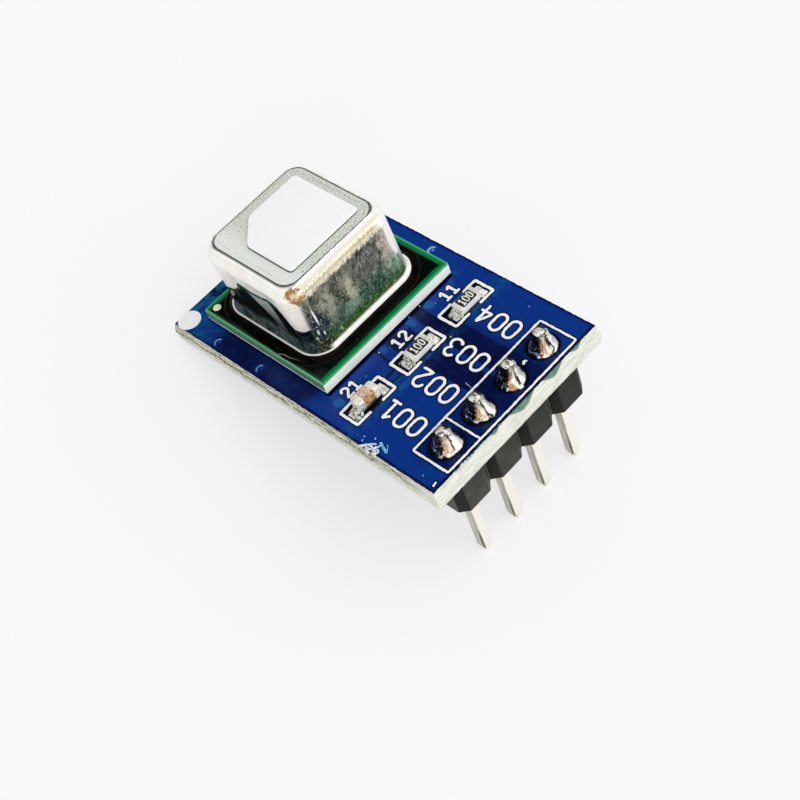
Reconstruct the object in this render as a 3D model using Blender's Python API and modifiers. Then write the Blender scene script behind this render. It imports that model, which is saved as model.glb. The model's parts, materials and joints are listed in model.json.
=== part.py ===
"""Temperature and humidity sensor module, as it lies on a table.

A scored circuit board carries a soldered gas sensor under a drawn metal can, three chip
parts and a four-pin header. The pieces are placed in the board's own frame: its origin is
the middle of the pin row on the board's top face, +X along the row, +Y towards the sensor
and +Z out of the top face. An empty holds that frame at the tilt at which the module rests
on its pin tips and on the far edge of its board.
"""

import math

import bmesh
import bpy

MM = 0.001

# Fit between pieces that touch
SEAT_GAP = 0.02 * MM

# Circuit board, broken out of its panel along V-scores
BOARD_WIDTH = 13.1 * MM
BOARD_LENGTH = 21.4 * MM
BOARD_THICKNESS = 1.6 * MM
ROW_TO_NEAR_EDGE = 1.62 * MM
SCORE_RUN = 0.15 * MM
SCORE_DEPTH = 0.5 * MM
PIN_HOLE_DIAMETER = 1.1 * MM

# Pin header
PIN_COUNT = 4
PIN_PITCH = 2.54 * MM
PIN_WIDTH = 0.64 * MM
PIN_TIP_WIDTH = 0.35 * MM
PIN_TAPER = 0.5 * MM
PIN_ABOVE_BOARD = 1.3 * MM
PIN_BELOW_HEADER = 5.6 * MM
HEADER_HEIGHT = 2.5 * MM
HEADER_DEPTH = 2.48 * MM
HEADER_NOTCH = 0.5 * MM
HEADER_EDGE = 0.06 * MM

# Solder cones of the pins
CONE_BASE_DIAMETER = 1.7 * MM
CONE_RIM = 0.05 * MM
CONE_COLLAR = 0.08 * MM
CONE_BELOW_PIN_TOP = 0.18 * MM
CONE_CORNER = 0.12 * MM
BARREL_FILL = 1.4 * MM

# Sensor substrate and the solder lands that it stands on
SENSOR_SIDE = 10.1 * MM
SENSOR_THICKNESS = 0.78 * MM
ROW_TO_SENSOR = 12.86 * MM
LAND_HEIGHT = 0.08 * MM
LANDS_A_SIDE = 5
LAND_PITCH = 1.5 * MM
LAND_LENGTH = 1.1 * MM
LAND_WIDTH = 0.7 * MM
LAND_INSET = 0.12 * MM
CENTRE_LAND_SIDE = 4.8 * MM

# Drawn can and the bead that seals it to the substrate
CAN_SHIFT_X = -0.04 * MM
CAN_SHIFT_Y = 0.2 * MM
CAN_HEIGHT = 5.08 * MM
CAN_MARGIN = 0.84 * MM
CAN_LIP = 0.3 * MM
CAN_CORNER = 1.3 * MM
CAN_SHOULDER_RUN = 0.5 * MM
CAN_SHOULDER_DROP = 0.9 * MM
CAN_SHEET = 0.12 * MM
CAN_FOOT_RADIUS = 0.25 * MM
CAN_VENT_DIAMETER = 2.0 * MM
CAN_CREASE_ANGLE = math.radians(22)
BEAD_WIDTH = 0.5 * MM
BEAD_HEIGHT = 0.18 * MM
BEAD_EDGE = 0.1 * MM

# Vent membrane, with its marking corner cut off
MEMBRANE_MARGIN = 0.8 * MM
MEMBRANE_THICKNESS = 0.1 * MM
MEMBRANE_CUT = 1.6 * MM
MEMBRANE_CORNER = 0.3 * MM

# Parts of the measuring cell: length, width, height, then their place from the can's middle
EMITTER_SIZE = (2.2 * MM, 2.2 * MM, 0.9 * MM)
EMITTER_PLACE = (-1.7 * MM, -1.6 * MM)
EMITTER_WINDOW = 1.3 * MM
MICROPHONE_SIZE = (2.75 * MM, 1.85 * MM, 0.95 * MM)
MICROPHONE_PLACE = (1.6 * MM, -1.6 * MM)
MICROPHONE_PORT = 0.4 * MM
HUMIDITY_CHIP_SIZE = (1.5 * MM, 1.5 * MM, 0.5 * MM)
HUMIDITY_CHIP_PLACE = (-1.7 * MM, 1.7 * MM)
HUMIDITY_PORT = 0.8 * MM
CONTROLLER_SIZE = (2.6 * MM, 2.6 * MM, 0.5 * MM)
CONTROLLER_PLACE = (1.5 * MM, 1.7 * MM)
PORT_DEPTH = 0.2 * MM
CELL_EDGE = 0.06 * MM

# Chip parts between the header and the sensor
CHIP_LENGTH = 1.6 * MM
CHIP_WIDTH = 0.8 * MM
CHIP_STEP = 0.02 * MM
CHIP_EDGE = 0.04 * MM
ROW_TO_CHIPS = 5.6 * MM
RESISTOR_HEIGHT = 0.47 * MM
RESISTOR_TERMINAL = 0.3 * MM
CAPACITOR_HEIGHT = 0.82 * MM
CAPACITOR_TERMINAL = 0.52 * MM
RESISTOR_1_X = 3.87 * MM
RESISTOR_2_X = -0.05 * MM
CAPACITOR_X = -4.09 * MM
FILLET_RUN = 0.3 * MM
FILLET_TOE = 0.03 * MM
FILLET_SHARE = 0.62

# Facets
HOLE_SIDES = 24
CORNER_STEPS = 6
SHOULDER_STEPS = 6
CONE_STEPS = 7

# The can steps in from the substrate: flange, wall, flat top and then the membrane on it
CAN_FLANGE = SENSOR_SIDE - 2 * CAN_MARGIN
CAN_WIDTH = CAN_FLANGE - 2 * CAN_LIP
CAN_FLAT = CAN_WIDTH - 2 * CAN_SHOULDER_RUN
MEMBRANE_SIDE = CAN_FLAT - 2 * MEMBRANE_MARGIN

# Heights in the board's frame that several pieces share
HEADER_TOP = -BOARD_THICKNESS - SEAT_GAP
HEADER_BOTTOM = HEADER_TOP - HEADER_HEIGHT
PIN_BOTTOM = HEADER_BOTTOM - PIN_BELOW_HEADER
SUBSTRATE_BOTTOM = 2 * SEAT_GAP + LAND_HEIGHT
SUBSTRATE_TOP = SUBSTRATE_BOTTOM + SENSOR_THICKNESS
CAN_BOTTOM = SUBSTRATE_TOP + SEAT_GAP
CAN_TOP = CAN_BOTTOM + CAN_HEIGHT

# Rest pose: the tilt at which pin tips and the far edge of the board's underside touch the floor
FAR_FACE_EDGE = BOARD_LENGTH - ROW_TO_NEAR_EDGE - SCORE_RUN
REST_TILT = math.atan2(-PIN_BOTTOM - BOARD_THICKNESS, FAR_FACE_EDGE - PIN_TIP_WIDTH / 2)

PARTS_NAME = "temperature_humidity_sensor_module"
CUTTERS_NAME = "cutters"


def clear_scene():
    for obj in list(bpy.data.objects):
        bpy.data.objects.remove(obj)


def new_collection(name):
    collection = bpy.data.collections.new(name)
    bpy.context.scene.collection.children.link(collection)
    return collection


def new_material(name, colour, roughness, metallic):
    material = bpy.data.materials.new(name)
    material.use_nodes = True
    shader = material.node_tree.nodes["Principled BSDF"]
    shader.inputs["Base Color"].default_value = (*colour, 1.0)
    shader.inputs["Roughness"].default_value = roughness
    shader.inputs["Metallic"].default_value = metallic
    return material


def make_materials():
    return {
        "board": new_material("blue_mask", (0.012, 0.05, 0.25), 0.3, 0.0),
        "substrate": new_material("green_mask", (0.03, 0.25, 0.09), 0.35, 0.0),
        "can": new_material("nickelled_steel", (0.72, 0.71, 0.67), 0.22, 1.0),
        "membrane": new_material("white_membrane", (0.92, 0.92, 0.92), 0.7, 0.0),
        "bead": new_material("black_sealant", (0.01, 0.01, 0.01), 0.18, 0.0),
        "header": new_material("black_nylon", (0.03, 0.03, 0.03), 0.5, 0.0),
        "pin": new_material("tinned_brass", (0.82, 0.78, 0.7), 0.25, 1.0),
        "solder": new_material("solder", (0.8, 0.79, 0.77), 0.2, 1.0),
        "resistor": new_material("resistor_ceramic", (0.05, 0.05, 0.05), 0.4, 0.0),
        "capacitor": new_material("capacitor_ceramic", (0.45, 0.3, 0.17), 0.5, 0.0),
        "chip": new_material("black_epoxy", (0.02, 0.02, 0.02), 0.5, 0.0),
    }


def along_floor(y, z):
    """Distance along the floor of a point of the board's frame, from the frame's origin."""
    return y * math.cos(REST_TILT) + z * math.sin(REST_TILT)


def make_module_frame():
    """Empty that holds the board's frame where the module rests on pin tips and far edge."""
    far_reach = max(
        along_floor(FAR_FACE_EDGE, 0),
        along_floor(FAR_FACE_EDGE + SCORE_RUN, -SCORE_DEPTH),
    )
    near_reach = min(
        along_floor(-PIN_TIP_WIDTH / 2, PIN_BOTTOM),
        along_floor(-PIN_WIDTH / 2, PIN_BOTTOM + PIN_TAPER),
        along_floor(-ROW_TO_NEAR_EDGE, SCORE_DEPTH - BOARD_THICKNESS),
    )
    frame = bpy.data.objects.new("module_frame", None)
    frame.rotation_euler = (-REST_TILT, 0, 0)
    frame.location = (
        0,
        -(far_reach + near_reach) / 2,
        FAR_FACE_EDGE * math.sin(REST_TILT) + BOARD_THICKNESS * math.cos(REST_TILT),
    )
    return frame


class Bench:
    """The scene's collections, the tilted frame and the materials that every piece uses."""

    def __init__(self):
        clear_scene()
        self.parts = new_collection(PARTS_NAME)
        self.cutters = new_collection(CUTTERS_NAME)
        self.cutters.hide_render = True
        self.frame = make_module_frame()
        self.parts.objects.link(self.frame)
        self.materials = make_materials()

    def place(self, name, mesh, material, location, rotation=(0, 0, 0)):
        """A piece in the board's frame."""
        obj = bpy.data.objects.new(name, mesh)
        mesh.materials.clear()
        mesh.materials.append(self.materials[material])
        obj.location = location
        obj.rotation_euler = rotation
        obj.parent = self.frame
        self.parts.objects.link(obj)
        return obj

    def cut(self, target, name, mesh, location):
        """Cuts one closed mesh out of a piece."""
        cutter = bpy.data.objects.new(name, mesh)
        cutter.location = location
        cutter.parent = self.frame
        cutter.hide_render = True
        cutter.display_type = "WIRE"
        self.cutters.objects.link(cutter)
        modifier = target.modifiers.new(name, "BOOLEAN")
        modifier.operation = "DIFFERENCE"
        modifier.solver = "EXACT"
        modifier.object = cutter


def mesh_of(name, bm):
    bmesh.ops.recalc_face_normals(bm, faces=bm.faces)
    mesh = bpy.data.meshes.new(name)
    bm.to_mesh(mesh)
    bm.free()
    return mesh


def box_mesh(name, size, edge=0.0):
    """Box about its own middle, with its edges broken by a small chamfer."""
    bm = bmesh.new()
    bmesh.ops.create_cube(bm, size=1.0)
    bmesh.ops.scale(bm, vec=size, verts=bm.verts)
    if edge > 0:
        bmesh.ops.bevel(bm, geom=list(bm.edges), offset=edge, segments=1, affect="EDGES")
    return mesh_of(name, bm)


def cylinder_mesh(name, diameter, length):
    bm = bmesh.new()
    bmesh.ops.create_cone(
        bm,
        cap_ends=True,
        segments=HOLE_SIDES,
        radius1=diameter / 2,
        radius2=diameter / 2,
        depth=length,
    )
    return mesh_of(name, bm)


def rounded_ring(half_x, half_y, radius, height):
    """Points of a rounded rectangle at one height, counter-clockwise seen from above."""
    points = []
    for corner in range(4):
        sign_x = 1 if corner in (0, 3) else -1
        sign_y = 1 if corner in (0, 1) else -1
        for step in range(CORNER_STEPS + 1):
            angle = math.radians(90) * (corner + step / CORNER_STEPS)
            x = sign_x * (half_x - radius) + radius * math.cos(angle)
            y = sign_y * (half_y - radius) + radius * math.sin(angle)
            points.append((x, y, height))
    return points


def loft_mesh(name, rings, capped=True):
    """Skin through rings of equal count, from the lowest to the highest."""
    bm = bmesh.new()
    levels = [[bm.verts.new(point) for point in ring] for ring in rings]
    count = len(levels[0])
    for lower, upper in zip(levels, levels[1:]):
        for index in range(count):
            after = (index + 1) % count
            bm.faces.new((lower[index], lower[after], upper[after], upper[index]))
    if capped:
        bm.faces.new(reversed(levels[0]))
        bm.faces.new(levels[-1])
    return mesh_of(name, bm)


def flat_mesh(name, outlines, thickness):
    """Plate about its own middle height: an outline and its holes, filled and extruded."""
    curve = bpy.data.curves.new(name, "CURVE")
    curve.dimensions = "2D"
    curve.fill_mode = "BOTH"
    curve.extrude = thickness / 2
    for outline in outlines:
        spline = curve.splines.new("POLY")
        spline.points.add(len(outline) - 1)
        for point, (x, y) in zip(spline.points, outline):
            point.co = (x, y, 0, 1)
        spline.use_cyclic_u = True
    source = bpy.data.objects.new(name + "_outline", curve)
    bpy.context.scene.collection.objects.link(source)
    graph = bpy.context.evaluated_depsgraph_get()
    mesh = bpy.data.meshes.new_from_object(source.evaluated_get(graph))
    bpy.data.objects.remove(source)
    bm = bmesh.new()
    bm.from_mesh(mesh)
    bmesh.ops.remove_doubles(bm, verts=bm.verts, dist=0.001 * MM)
    bpy.data.meshes.remove(mesh)
    return mesh_of(name, bm)


def soften(obj, width, angle=math.radians(30)):
    modifier = obj.modifiers.new("edges", "BEVEL")
    modifier.width = width
    modifier.segments = 1
    modifier.limit_method = "ANGLE"
    modifier.angle_limit = angle


def pin_places():
    first = -(PIN_COUNT - 1) * PIN_PITCH / 2
    return [first + index * PIN_PITCH for index in range(PIN_COUNT)]


def make_circuit_board(bench):
    """Scored slab: the edges slope out from both faces to the broken middle of the sheet."""
    bm = bmesh.new()
    bmesh.ops.create_cube(bm, size=1.0)
    bmesh.ops.scale(bm, vec=(BOARD_WIDTH, BOARD_LENGTH, BOARD_THICKNESS), verts=bm.verts)
    half = BOARD_THICKNESS / 2
    level = [edge for edge in bm.edges if abs(edge.verts[0].co.z - edge.verts[1].co.z) < half]
    bmesh.ops.bevel(bm, geom=level, offset=SCORE_RUN, segments=1, affect="EDGES")
    for vert in bm.verts:
        if abs(vert.co.z) < half - SCORE_RUN / 2:
            vert.co.z = math.copysign(half - SCORE_DEPTH, vert.co.z)
    mesh = mesh_of("circuit_board", bm)
    middle_y = BOARD_LENGTH / 2 - ROW_TO_NEAR_EDGE
    board = bench.place("circuit_board", mesh, "board", (0, middle_y, -half))
    for index, x in enumerate(pin_places(), start=1):
        drill = cylinder_mesh("pin_drill", PIN_HOLE_DIAMETER, 2 * BOARD_THICKNESS)
        bench.cut(board, f"pin_drill_{index}", drill, (x, 0, -half))


def header_outline():
    """Plan of the header: one block a pin, with a V between blocks and chamfered ends."""
    depth = HEADER_DEPTH / 2
    block = PIN_PITCH / 2
    front = []
    for x in pin_places():
        front.append((x - block, -depth + HEADER_NOTCH))
        front.append((x - block + HEADER_NOTCH, -depth))
        front.append((x + block - HEADER_NOTCH, -depth))
    front.append((pin_places()[-1] + block, -depth + HEADER_NOTCH))
    back = [(x, -y) for x, y in reversed(front)]
    return front + back


def square_outline(x, side):
    half = side / 2
    return [(x - half, -half), (x + half, -half), (x + half, half), (x - half, half)]


def make_header(bench):
    outlines = [header_outline()]
    for x in pin_places():
        outlines.append(square_outline(x, PIN_WIDTH + 2 * SEAT_GAP))
    mesh = flat_mesh("header_insulator", outlines, HEADER_HEIGHT)
    insulator = bench.place("header_insulator", mesh, "header", (0, 0, (HEADER_TOP + HEADER_BOTTOM) / 2))
    soften(insulator, HEADER_EDGE)


def square_ring(side, height):
    return [(x, y, height) for x, y in square_outline(0, side)]


def make_pins(bench):
    """Square wire, pointed at both ends."""
    for index, x in enumerate(pin_places(), start=1):
        rings = [
            square_ring(PIN_TIP_WIDTH, PIN_BOTTOM),
            square_ring(PIN_WIDTH, PIN_BOTTOM + PIN_TAPER),
            square_ring(PIN_WIDTH, PIN_ABOVE_BOARD - PIN_TAPER / 2),
            square_ring((PIN_WIDTH + PIN_TIP_WIDTH) / 2, PIN_ABOVE_BOARD),
        ]
        name = f"header_pin_{index}"
        bench.place(name, loft_mesh(name, rings), "pin", (x, 0, 0))


def cone_rings():
    """Solder from inside the plated hole to its collar round the pin.

    Over the rim the section narrows as the 2.4th power of the height that is left, and it
    turns from a circle into the pin's rounded square.
    """
    barrel = PIN_HOLE_DIAMETER / 2 - SEAT_GAP
    base = CONE_BASE_DIAMETER / 2
    collar = PIN_WIDTH / 2 + SEAT_GAP + CONE_COLLAR
    rim_height = SEAT_GAP + CONE_RIM
    top = PIN_ABOVE_BOARD - CONE_BELOW_PIN_TOP
    rings = [
        rounded_ring(barrel, barrel, barrel, -BARREL_FILL),
        rounded_ring(barrel, barrel, barrel, SEAT_GAP),
        rounded_ring(base, base, base, SEAT_GAP),
    ]
    for step in range(CONE_STEPS + 1):
        share = step / CONE_STEPS
        half = collar + (base - collar) * (1 - share) ** 2.4
        radius = half + (CONE_CORNER - half) * share
        rings.append(rounded_ring(half, half, radius, rim_height + (top - rim_height) * share))
    return rings


def make_pin_solder(bench):
    for index, x in enumerate(pin_places(), start=1):
        name = f"pin_solder_{index}"
        cone = bench.place(name, loft_mesh(name, cone_rings()), "solder", (x, 0, 0))
        side = PIN_WIDTH + 2 * SEAT_GAP
        slot = box_mesh("pin_slot", (side, side, 4 * BOARD_THICKNESS))
        bench.cut(cone, f"pin_slot_{index}", slot, (x, 0, 0))


def make_substrate(bench):
    size = (SENSOR_SIDE, SENSOR_SIDE, SENSOR_THICKNESS)
    middle = (0, ROW_TO_SENSOR, (SUBSTRATE_BOTTOM + SUBSTRATE_TOP) / 2)
    bench.place("sensor_substrate", box_mesh("sensor_substrate", size), "substrate", middle)


def make_lands(bench):
    """Solder between board and substrate: a row of lands along each side, and a centre land."""
    height = SEAT_GAP + LAND_HEIGHT / 2
    reach = SENSOR_SIDE / 2 - LAND_INSET - LAND_LENGTH / 2
    number = 0
    for side in range(4):
        quarter = math.radians(90) * side
        for step in range(LANDS_A_SIDE):
            number += 1
            offset = (step - (LANDS_A_SIDE - 1) / 2) * LAND_PITCH
            x = reach * math.cos(quarter) - offset * math.sin(quarter)
            y = reach * math.sin(quarter) + offset * math.cos(quarter)
            name = f"sensor_land_{number:02d}"
            mesh = box_mesh(name, (LAND_LENGTH, LAND_WIDTH, LAND_HEIGHT))
            bench.place(name, mesh, "solder", (x, ROW_TO_SENSOR + y, height), (0, 0, quarter))
    size = (CENTRE_LAND_SIDE, CENTRE_LAND_SIDE, LAND_HEIGHT)
    mesh = box_mesh("sensor_centre_land", size)
    bench.place("sensor_centre_land", mesh, "solder", (0, ROW_TO_SENSOR, height))


def can_middle():
    return (CAN_SHIFT_X, ROW_TO_SENSOR + CAN_SHIFT_Y)


def can_rings():
    """Outer skin of the can, from the flange's rim up over the shoulder to the vent.

    The shoulder is a quarter of an ellipse that starts at the crease angle, so the flat top
    ends in a visible line. The corner radius shrinks with the section.
    """
    rings = []
    wall = CAN_WIDTH / 2
    flat = CAN_FLAT / 2
    flange = CAN_FLANGE / 2
    foot_top = CAN_BOTTOM + CAN_SHEET + CAN_FOOT_RADIUS
    rings.append(rounded_ring(flange, flange, CAN_CORNER + CAN_LIP, CAN_BOTTOM + CAN_SHEET))
    foot_steps = SHOULDER_STEPS // 2
    for step in range(foot_steps + 1):
        angle = math.radians(90) * step / foot_steps
        half = wall + min(CAN_FOOT_RADIUS, 0.9 * CAN_LIP) * (1 - math.sin(angle))
        height = foot_top - CAN_FOOT_RADIUS * math.cos(angle)
        rings.append(rounded_ring(half, half, CAN_CORNER + half - wall, height))
    crease = CAN_CREASE_ANGLE
    for step in range(SHOULDER_STEPS + 1):
        angle = math.radians(90) + (crease - math.radians(90)) * step / SHOULDER_STEPS
        reach = (math.sin(angle) - math.sin(crease)) / (1 - math.sin(crease))
        drop = CAN_SHOULDER_DROP * (1 - math.cos(angle) / math.cos(crease))
        half = flat + (wall - flat) * reach
        rings.append(rounded_ring(half, half, CAN_CORNER + half - wall, CAN_TOP - drop))
    vent = CAN_VENT_DIAMETER / 2
    rings.append(rounded_ring(vent, vent, vent, CAN_TOP))
    return rings


def make_can(bench):
    mesh = loft_mesh("metal_can", can_rings(), capped=False)
    can = bench.place("metal_can", mesh, "can", (*can_middle(), 0))
    sheet = can.modifiers.new("sheet", "SOLIDIFY")
    sheet.thickness = CAN_SHEET
    sheet.offset = -1
    sheet.use_even_offset = True


def rounded_corners(points, radius):
    """Outline with each corner replaced by a three-point arc that starts radius from it."""
    rounded = []
    count = len(points)
    for index, (x, y) in enumerate(points):
        before = points[index - 1]
        after = points[(index + 1) % count]
        start = step_towards((x, y), before, radius)
        end = step_towards((x, y), after, radius)
        middle = tuple((start[axis] + end[axis]) / 4 + (x, y)[axis] / 2 for axis in range(2))
        rounded += [start, middle, end]
    return rounded


def step_towards(point, other, distance):
    length = math.dist(point, other)
    return tuple(point[axis] + (other[axis] - point[axis]) * distance / length for axis in range(2))


def make_membrane(bench):
    half = MEMBRANE_SIDE / 2
    cut_corner = [(MEMBRANE_CUT - half, half), (-half, half - MEMBRANE_CUT)]
    corners = [(half, half), *cut_corner, (-half, -half), (half, -half)]
    mesh = flat_mesh("vent_membrane", [rounded_corners(corners, MEMBRANE_CORNER)], MEMBRANE_THICKNESS)
    height = CAN_TOP + SEAT_GAP + MEMBRANE_THICKNESS / 2
    bench.place("vent_membrane", mesh, "membrane", (*can_middle(), height))


def make_bead(bench):
    """Sealant run round the can's flange."""
    inner = CAN_FLANGE / 2 + SEAT_GAP
    outer = inner + BEAD_WIDTH
    corner = CAN_CORNER + CAN_LIP + SEAT_GAP
    outlines = []
    for half, radius in ((outer, corner + BEAD_WIDTH), (inner, corner)):
        outlines.append([(x, y) for x, y, _ in rounded_ring(half, half, radius, 0)])
    mesh = flat_mesh("sealing_bead", outlines, BEAD_HEIGHT)
    height = CAN_BOTTOM + BEAD_HEIGHT / 2
    bead = bench.place("sealing_bead", mesh, "bead", (*can_middle(), height))
    soften(bead, BEAD_EDGE, math.radians(60))


def make_cell_part(bench, name, size, place, material, port):
    """Part inside the can, on the substrate, with a round port in its top."""
    middle_x, middle_y = can_middle()
    x = middle_x + place[0]
    y = middle_y + place[1]
    bottom = SUBSTRATE_TOP + SEAT_GAP
    part = bench.place(name, box_mesh(name, size, CELL_EDGE), material, (x, y, bottom + size[2] / 2))
    if port:
        drill = cylinder_mesh(name + "_port", port, 2 * PORT_DEPTH)
        bench.cut(part, name + "_port", drill, (x, y, bottom + size[2]))


def make_measuring_cell(bench):
    make_cell_part(bench, "infrared_emitter", EMITTER_SIZE, EMITTER_PLACE, "can", EMITTER_WINDOW)
    make_cell_part(bench, "microphone", MICROPHONE_SIZE, MICROPHONE_PLACE, "can", MICROPHONE_PORT)
    make_cell_part(bench, "humidity_chip", HUMIDITY_CHIP_SIZE, HUMIDITY_CHIP_PLACE, "chip", HUMIDITY_PORT)
    make_cell_part(bench, "controller_chip", CONTROLLER_SIZE, CONTROLLER_PLACE, "chip", None)


def chip_rings(height, terminal):
    """Sections along a chip's length: plated ends stand a step proud of the body."""
    half_height = height / 2
    half_width = CHIP_WIDTH / 2
    end = CHIP_LENGTH / 2
    stations = [
        (-end, CHIP_EDGE),
        (-end + CHIP_EDGE, 0),
        (-end + terminal, 0),
        (-end + terminal + CHIP_STEP, CHIP_STEP),
        (end - terminal - CHIP_STEP, CHIP_STEP),
        (end - terminal, 0),
        (end - CHIP_EDGE, 0),
        (end, CHIP_EDGE),
    ]
    rings = []
    for along, inset in stations:
        x = half_height - inset
        y = half_width - inset
        cut = CHIP_EDGE
        ring = [(x, -y + cut), (x, y - cut), (x - cut, y), (-x + cut, y)]
        ring += [(-px, -py) for px, py in ring]
        rings.append([(px, py, along) for px, py in ring])
    return rings


def fillet_outline(rise):
    """Solder run up a chip's end: a toe, then a concave quarter ellipse up to the plating."""
    outline = [(0, 0), (FILLET_RUN, 0)]
    for step in range(CORNER_STEPS + 1):
        angle = math.radians(90) * (1 - step / CORNER_STEPS)
        x = FILLET_TOE + (FILLET_RUN - FILLET_TOE) * (1 - math.cos(angle))
        z = FILLET_TOE + (rise - FILLET_TOE) * (1 - math.sin(angle))
        outline.append((x, z))
    outline.append((0, rise))
    return outline


def make_chip(bench, name, x, height, terminal, material):
    bottom = SEAT_GAP
    mesh = loft_mesh(name, chip_rings(height, terminal))
    bench.place(name, mesh, material, (x, ROW_TO_CHIPS, bottom + height / 2), (0, math.radians(90), 0))
    upright = math.radians(90)
    start = CHIP_LENGTH / 2 + SEAT_GAP
    for side, turn in (("left", math.radians(180)), ("right", 0)):
        sign = -1 if side == "left" else 1
        solder = f"{name}_solder_{side}"
        fillet = flat_mesh(solder, [fillet_outline(FILLET_SHARE * height)], CHIP_WIDTH)
        foot = (x + sign * start, ROW_TO_CHIPS, bottom)
        bench.place(solder, fillet, "solder", foot, (upright, 0, turn))


def make_chips(bench):
    make_chip(bench, "resistor_1", RESISTOR_1_X, RESISTOR_HEIGHT, RESISTOR_TERMINAL, "resistor")
    make_chip(bench, "resistor_2", RESISTOR_2_X, RESISTOR_HEIGHT, RESISTOR_TERMINAL, "resistor")
    make_chip(bench, "capacitor", CAPACITOR_X, CAPACITOR_HEIGHT, CAPACITOR_TERMINAL, "capacitor")


def main():
    bench = Bench()
    make_circuit_board(bench)
    make_header(bench)
    make_pins(bench)
    make_pin_solder(bench)
    make_substrate(bench)
    make_lands(bench)
    make_can(bench)
    make_membrane(bench)
    make_bead(bench)
    make_measuring_cell(bench)
    make_chips(bench)


main()
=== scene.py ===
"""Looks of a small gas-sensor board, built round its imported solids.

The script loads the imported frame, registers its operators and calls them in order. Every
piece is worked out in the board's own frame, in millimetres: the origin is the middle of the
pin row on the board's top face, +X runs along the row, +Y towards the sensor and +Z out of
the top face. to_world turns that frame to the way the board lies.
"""

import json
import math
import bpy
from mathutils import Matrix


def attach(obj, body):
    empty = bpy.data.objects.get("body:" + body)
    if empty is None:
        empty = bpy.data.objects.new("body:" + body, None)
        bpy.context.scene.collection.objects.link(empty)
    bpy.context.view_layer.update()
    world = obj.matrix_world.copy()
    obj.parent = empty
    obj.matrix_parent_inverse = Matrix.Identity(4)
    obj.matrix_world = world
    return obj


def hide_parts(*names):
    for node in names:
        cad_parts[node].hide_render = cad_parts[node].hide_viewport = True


bl_info = {
    "name": "Sensor board looks",
    "version": (1, 0, 0),
    "blender": (4, 5, 0),
    "location": "3D View > Sidebar > Sensor board",
    "description": "Builds the visible pieces, finishes and studio of a small sensor board",
    "category": "Object",
}

import bpy
import numpy as np
from bpy.props import FloatProperty, FloatVectorProperty, PointerProperty
from mathutils import Matrix, Vector

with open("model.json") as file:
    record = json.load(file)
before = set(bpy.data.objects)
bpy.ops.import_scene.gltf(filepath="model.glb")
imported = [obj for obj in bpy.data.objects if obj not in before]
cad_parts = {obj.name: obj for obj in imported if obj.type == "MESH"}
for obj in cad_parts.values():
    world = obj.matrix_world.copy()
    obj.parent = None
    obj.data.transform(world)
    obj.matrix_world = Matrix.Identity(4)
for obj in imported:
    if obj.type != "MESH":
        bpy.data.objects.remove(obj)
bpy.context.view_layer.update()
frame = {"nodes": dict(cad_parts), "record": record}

MM = 0.001

# The board's frame in the world, read from the record's header seat
SEAT = next(mount for mount in frame["record"]["mounts"] if mount["name"] == "header_seat")
SEAT_AXIS = np.array(SEAT["axis"], float)
SEAT_DEPTH = 4.12
TILT = math.atan2(-SEAT_AXIS[1], -SEAT_AXIS[2])
ORIGIN = np.array(SEAT["pos_m"], float) - SEAT_AXIS * SEAT_DEPTH * MM

# Sizes and places that the pieces share, in millimetres
BOARD_HALF = 6.55
NEAR_EDGE = -1.62
FAR_EDGE = 19.78
BOARD_THICK = 1.6
SCORE_RUN = 0.15
MASK_DEPTH = 0.06
PITCH = 2.54
PIN_ROW = [(index - 1.5) * PITCH for index in range(4)]
PIN_HALF = 0.32
PIN_LOW = -9.72
PIN_HIGH = 1.3
HEADER_TOP = -1.62
SENSOR_Y = 12.86
SENSOR_HALF = 5.05
SENSOR_LOW = 0.12
SENSOR_TOP = 0.90
CAN_X = -0.04
CAN_Y = 13.06
CAN_LOW = 0.92
CAN_TOP = 6.0
CHIP_Y = 5.6
CHIPS = {"resistor_1": 3.87, "resistor_2": -0.05, "capacitor": -4.09}
GILT_MARK = (-4.5, 17.36)
CAN_LEAN = (-0.15, 0.09)

# The photograph's camera in the board's frame
CAMERA_EYE = (-28.727, -43.588, 62.938)
CAMERA_LOOK = (0.309076, 0.574754, -0.757714)
CAMERA_RIGHT = (0.671738, -0.695926, -0.253880)
CAMERA_LENS = 70.893


def to_world(points):
    """Board millimetres to world metres: a turn by -TILT about X, then a move to ORIGIN."""
    x, y, z = np.moveaxis(np.asarray(points, float), -1, 0)
    turned = np.stack(
        [x, y * math.cos(TILT) + z * math.sin(TILT), z * math.cos(TILT) - y * math.sin(TILT)],
        -1,
    )
    return turned * MM + ORIGIN


def hashed(i, j, seed):
    """A number from 0 to 1 for each whole point (i, j), mixed by multiply and shift."""
    mixed = (i * 374761393 + j * 668265263 + seed * 1274126177) & 0xFFFFFFFF
    mixed = ((mixed ^ (mixed >> 13)) * 1274126177) & 0xFFFFFFFF
    mixed = ((mixed ^ (mixed >> 16)) * 2246822519) & 0xFFFFFFFF
    return (mixed & 0xFFFFFF) / 0xFFFFFF


def drift(x, y, seed=0):
    """Smooth random field from -1 to 1: hashed whole points blended by 3t^2 - 2t^3."""
    x, y = np.broadcast_arrays(np.asarray(x, float), np.asarray(y, float))
    i = np.floor(x).astype(np.int64)
    j = np.floor(y).astype(np.int64)
    u = x - i
    v = y - j
    u = u * u * (3 - 2 * u)
    v = v * v * (3 - 2 * v)
    low = hashed(i, j, seed) * (1 - u) + hashed(i + 1, j, seed) * u
    high = hashed(i, j + 1, seed) * (1 - u) + hashed(i + 1, j + 1, seed) * u
    return 2 * (low * (1 - v) + high * v) - 1


def ease(value, low, high):
    """0 below low, 1 above high, and 3t^2 - 2t^3 between them."""
    t = np.clip((value - low) / (high - low), 0, 1)
    return t * t * (3 - 2 * t)


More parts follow.
